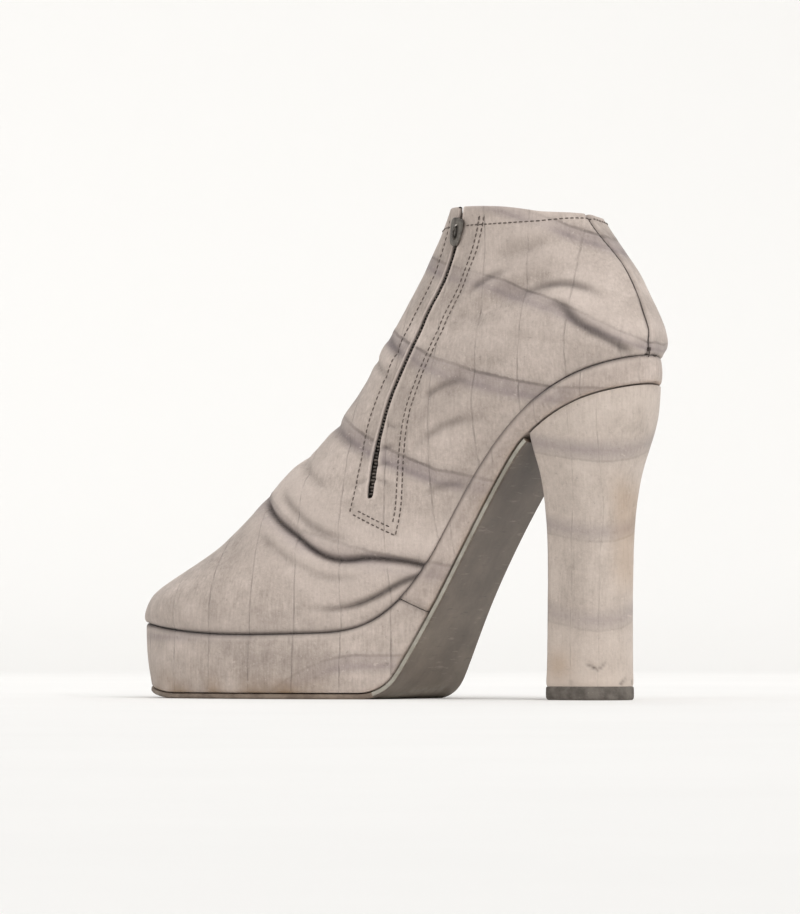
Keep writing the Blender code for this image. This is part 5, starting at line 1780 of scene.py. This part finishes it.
@dataclass
class Sock:
    """Sock of leather over the insole board."""

    last: Last
    rungs: int = 150
    stations: int = 26
    inset: float = WALL + 0.7

    def build(self) -> bpy.types.Object:
        """Builds the sock."""
        medial, lateral = plan_outline(-self.inset)
        low, high = feather_curve(FIT, 900), feather_curve(FIT + INSOLE_THICK, 900)
        at = medial[0, 0] + 0.2 + (medial[-1, 0] - medial[0, 0] - 1.6) * eased(self.rungs)
        rows = []
        for x in at:
            z_low, z_high = (float(np.interp(x, *curve.T)) for curve in (low, high))
            y_m = min(float(read_edge(medial, x)), self.last.across(x, z_high, 1) - self.inset)
            y_l = max(float(read_edge(lateral, x)), self.last.across(x, z_high, -1) + self.inset)
            y = y_m + (y_l - y_m) * eased(self.stations)
            edge = np.clip(np.minimum(abs(y - y_m), abs(y_l - y)) / 1.0, 0, 1)
            cup = 0.5 * ((y - (y_m + y_l) / 2) / max((y_m - y_l) / 2, 1)) ** 2
            top = z_high - 0.55 * (1 - np.sqrt(1 - (1 - edge) ** 2)) + cup * edge * 0.6
            rows.append([*((x, a, b) for a, b in zip(y, top)), (x, y_l, z_low), (x, y_m, z_low)])
        work, grid = MeshWork("sock_sheet"), np.array(rows)
        # darker where the foot's heel stood
        footprint = np.exp(-((grid[..., 0] - 2) ** 2 / 260 + grid[..., 1] ** 2 / 180))
        numbers = work.grid(grid, closed=True, dark=0.5 * footprint)
        work.cap(numbers[0], numbers[-1][::-1])
        finish = PlainLeather("sock_leather_smooth_calf", "bfab8d", "978062").make()
        return settle(work.make([finish], 50, True), "sock_leather", "insole")


# ---- Studio --------------------------------------------------------------------------
@dataclass
class Studio:
    """Pale seamless floor, soft lights and the camera."""

    azimuth: float = 119.4       # degrees from +X toward +Y
    height: float = 0.016        # camera over the floor, metres
    distance: float = 1.45
    lens: float = 150.0
    aim: tuple[float, float, float] = (0.083, 0.0, 0.092)
    # name, degrees round, degrees up, strength, degrees across
    lights: tuple[tuple[str, float, float, float, float], ...] = (
        ("key_softbox", 150.0, 44.0, 1.92, 42.0),
        ("fill_softbox", 60.0, 35.0, 0.35, 60.0),
        ("back_softbox", -40.0, 42.0, 0.45, 60.0))
    air: str = "f4f3f2"
    air_strength: float = 0.53

    def build(self) -> None:
        """Builds floor, lights and camera."""
        self.floor()
        scene, aim = bpy.context.scene, Vector(self.aim)
        for name, turn, rise, strength, spread in self.lights:
            light = bpy.data.lights.new(name, "SUN")
            light.energy, light.angle = strength, math.radians(spread)
            lamp = bpy.data.objects.new(name, light)
            turn, rise = math.radians(turn), math.radians(rise)
            toward = Vector((math.cos(turn) * math.cos(rise), math.sin(turn) * math.cos(rise),
                             math.sin(rise)))
            lamp.location = aim + toward * 2.0
            lamp.rotation_euler = toward.to_track_quat("Z", "Y").to_euler()
            scene.collection.objects.link(lamp)
        scene.world = bpy.data.worlds.new("studio_air")
        scene.world.use_nodes = True
        background = scene.world.node_tree.nodes["Background"].inputs
        background["Color"].default_value = linear(self.air)
        background["Strength"].default_value = self.air_strength
        camera = bpy.data.objects.new("camera", bpy.data.cameras.new("camera"))
        camera.data.lens = self.lens
        camera.data.sensor_fit = "VERTICAL"
        camera.data.sensor_height = 36.0
        camera.data.clip_start = 0.01
        turn = math.radians(self.azimuth)
        place = Vector((self.aim[0] + self.distance * math.cos(turn),
                        self.aim[1] + self.distance * math.sin(turn), self.height))
        camera.location = place
        camera.rotation_euler = (aim - place).to_track_quat("-Z", "Y").to_euler()
        scene.collection.objects.link(camera)
        scene.camera = camera
        scene.view_settings.view_transform = "Standard"

    def floor(self) -> None:
        """Round paper floor that rises softly to a rim far away."""
        flat, rim, high, sides = 3.0, 5.0, 2.6, 72        # radii and height in metres
        radii = np.concatenate([[0.05], np.linspace(0.5, flat, 6), np.linspace(3.3, rim, 14)])
        rise = high * ((radii - flat).clip(0) / (rim - flat)) ** 2.2
        turn = np.linspace(0, 2 * np.pi, sides, endpoint=False)
        rings = np.stack([np.column_stack([r * np.cos(turn), r * np.sin(turn), z + 0 * turn])
                          for r, z in zip(radii, rise)]) / MM
        work = MeshWork("studio_floor")
        # painted shade: the far floor and its rising rim get a darker paper tone, to even out the
        # stronger light there
        away = smooth((radii - 1.0) / 2.6)[:, None] * np.ones(sides)
        numbers = work.grid(rings, closed=True, dark=away)
        work.cap(numbers[0][::-1])
        paper = Speckled("backdrop_paper_matt", "f3f2f0", "f6f5f3", 0.9, 300.0, 3.0, 0.02,
                         far="e6e5e3")
        floor = work.make([paper.make()], None)


def main() -> None:
    """Builds the boot's looks, piece by piece."""
    logging.basicConfig(level=logging.INFO, format="%(name)s %(message)s")
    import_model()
    Studio().build()
    last = Last()
    Upper(last, Relief(), Nubuck("nubuck_cowhide_embossed").make()).build()
    Zip(last).build()
    cover = Nubuck("nubuck_cover_strip", bands=0.6, checks=0.3, mid="b2a49b").make()
    CoveredBoard("rand_cover", "rand", cover, RAND_OVERHANG, 0.55, False, round_top=1.5,
                 round_bottom=1.2).build()
    wrap = Nubuck("nubuck_platform_wrap", bands=0.6, checks=0.45, mid="b4a79e",
                  stain="8d745a").make()
    CoveredBoard("platform_wrap", "platform", wrap, WRAP_OVERHANG, 0.7, True).build()
    Outsole().build()
    heel = Nubuck("nubuck_heel_cover", light="d0c3b9", mid="bbaea4", shade="9b8f86",
                  bands=0.68, checks=0.2, haze=(
                      (0.16, 0.0), (0.30, 0.6), (0.42, 0.9), (0.52, 0.6), (0.57, 0.5),
                      (0.588, 0.6), (0.612, 0.6), (0.634, 0.2), (0.76, 0.0)))
    Heel(heel.make()).build()
    Sock(last).build()


if __name__ == "__main__":
    main()
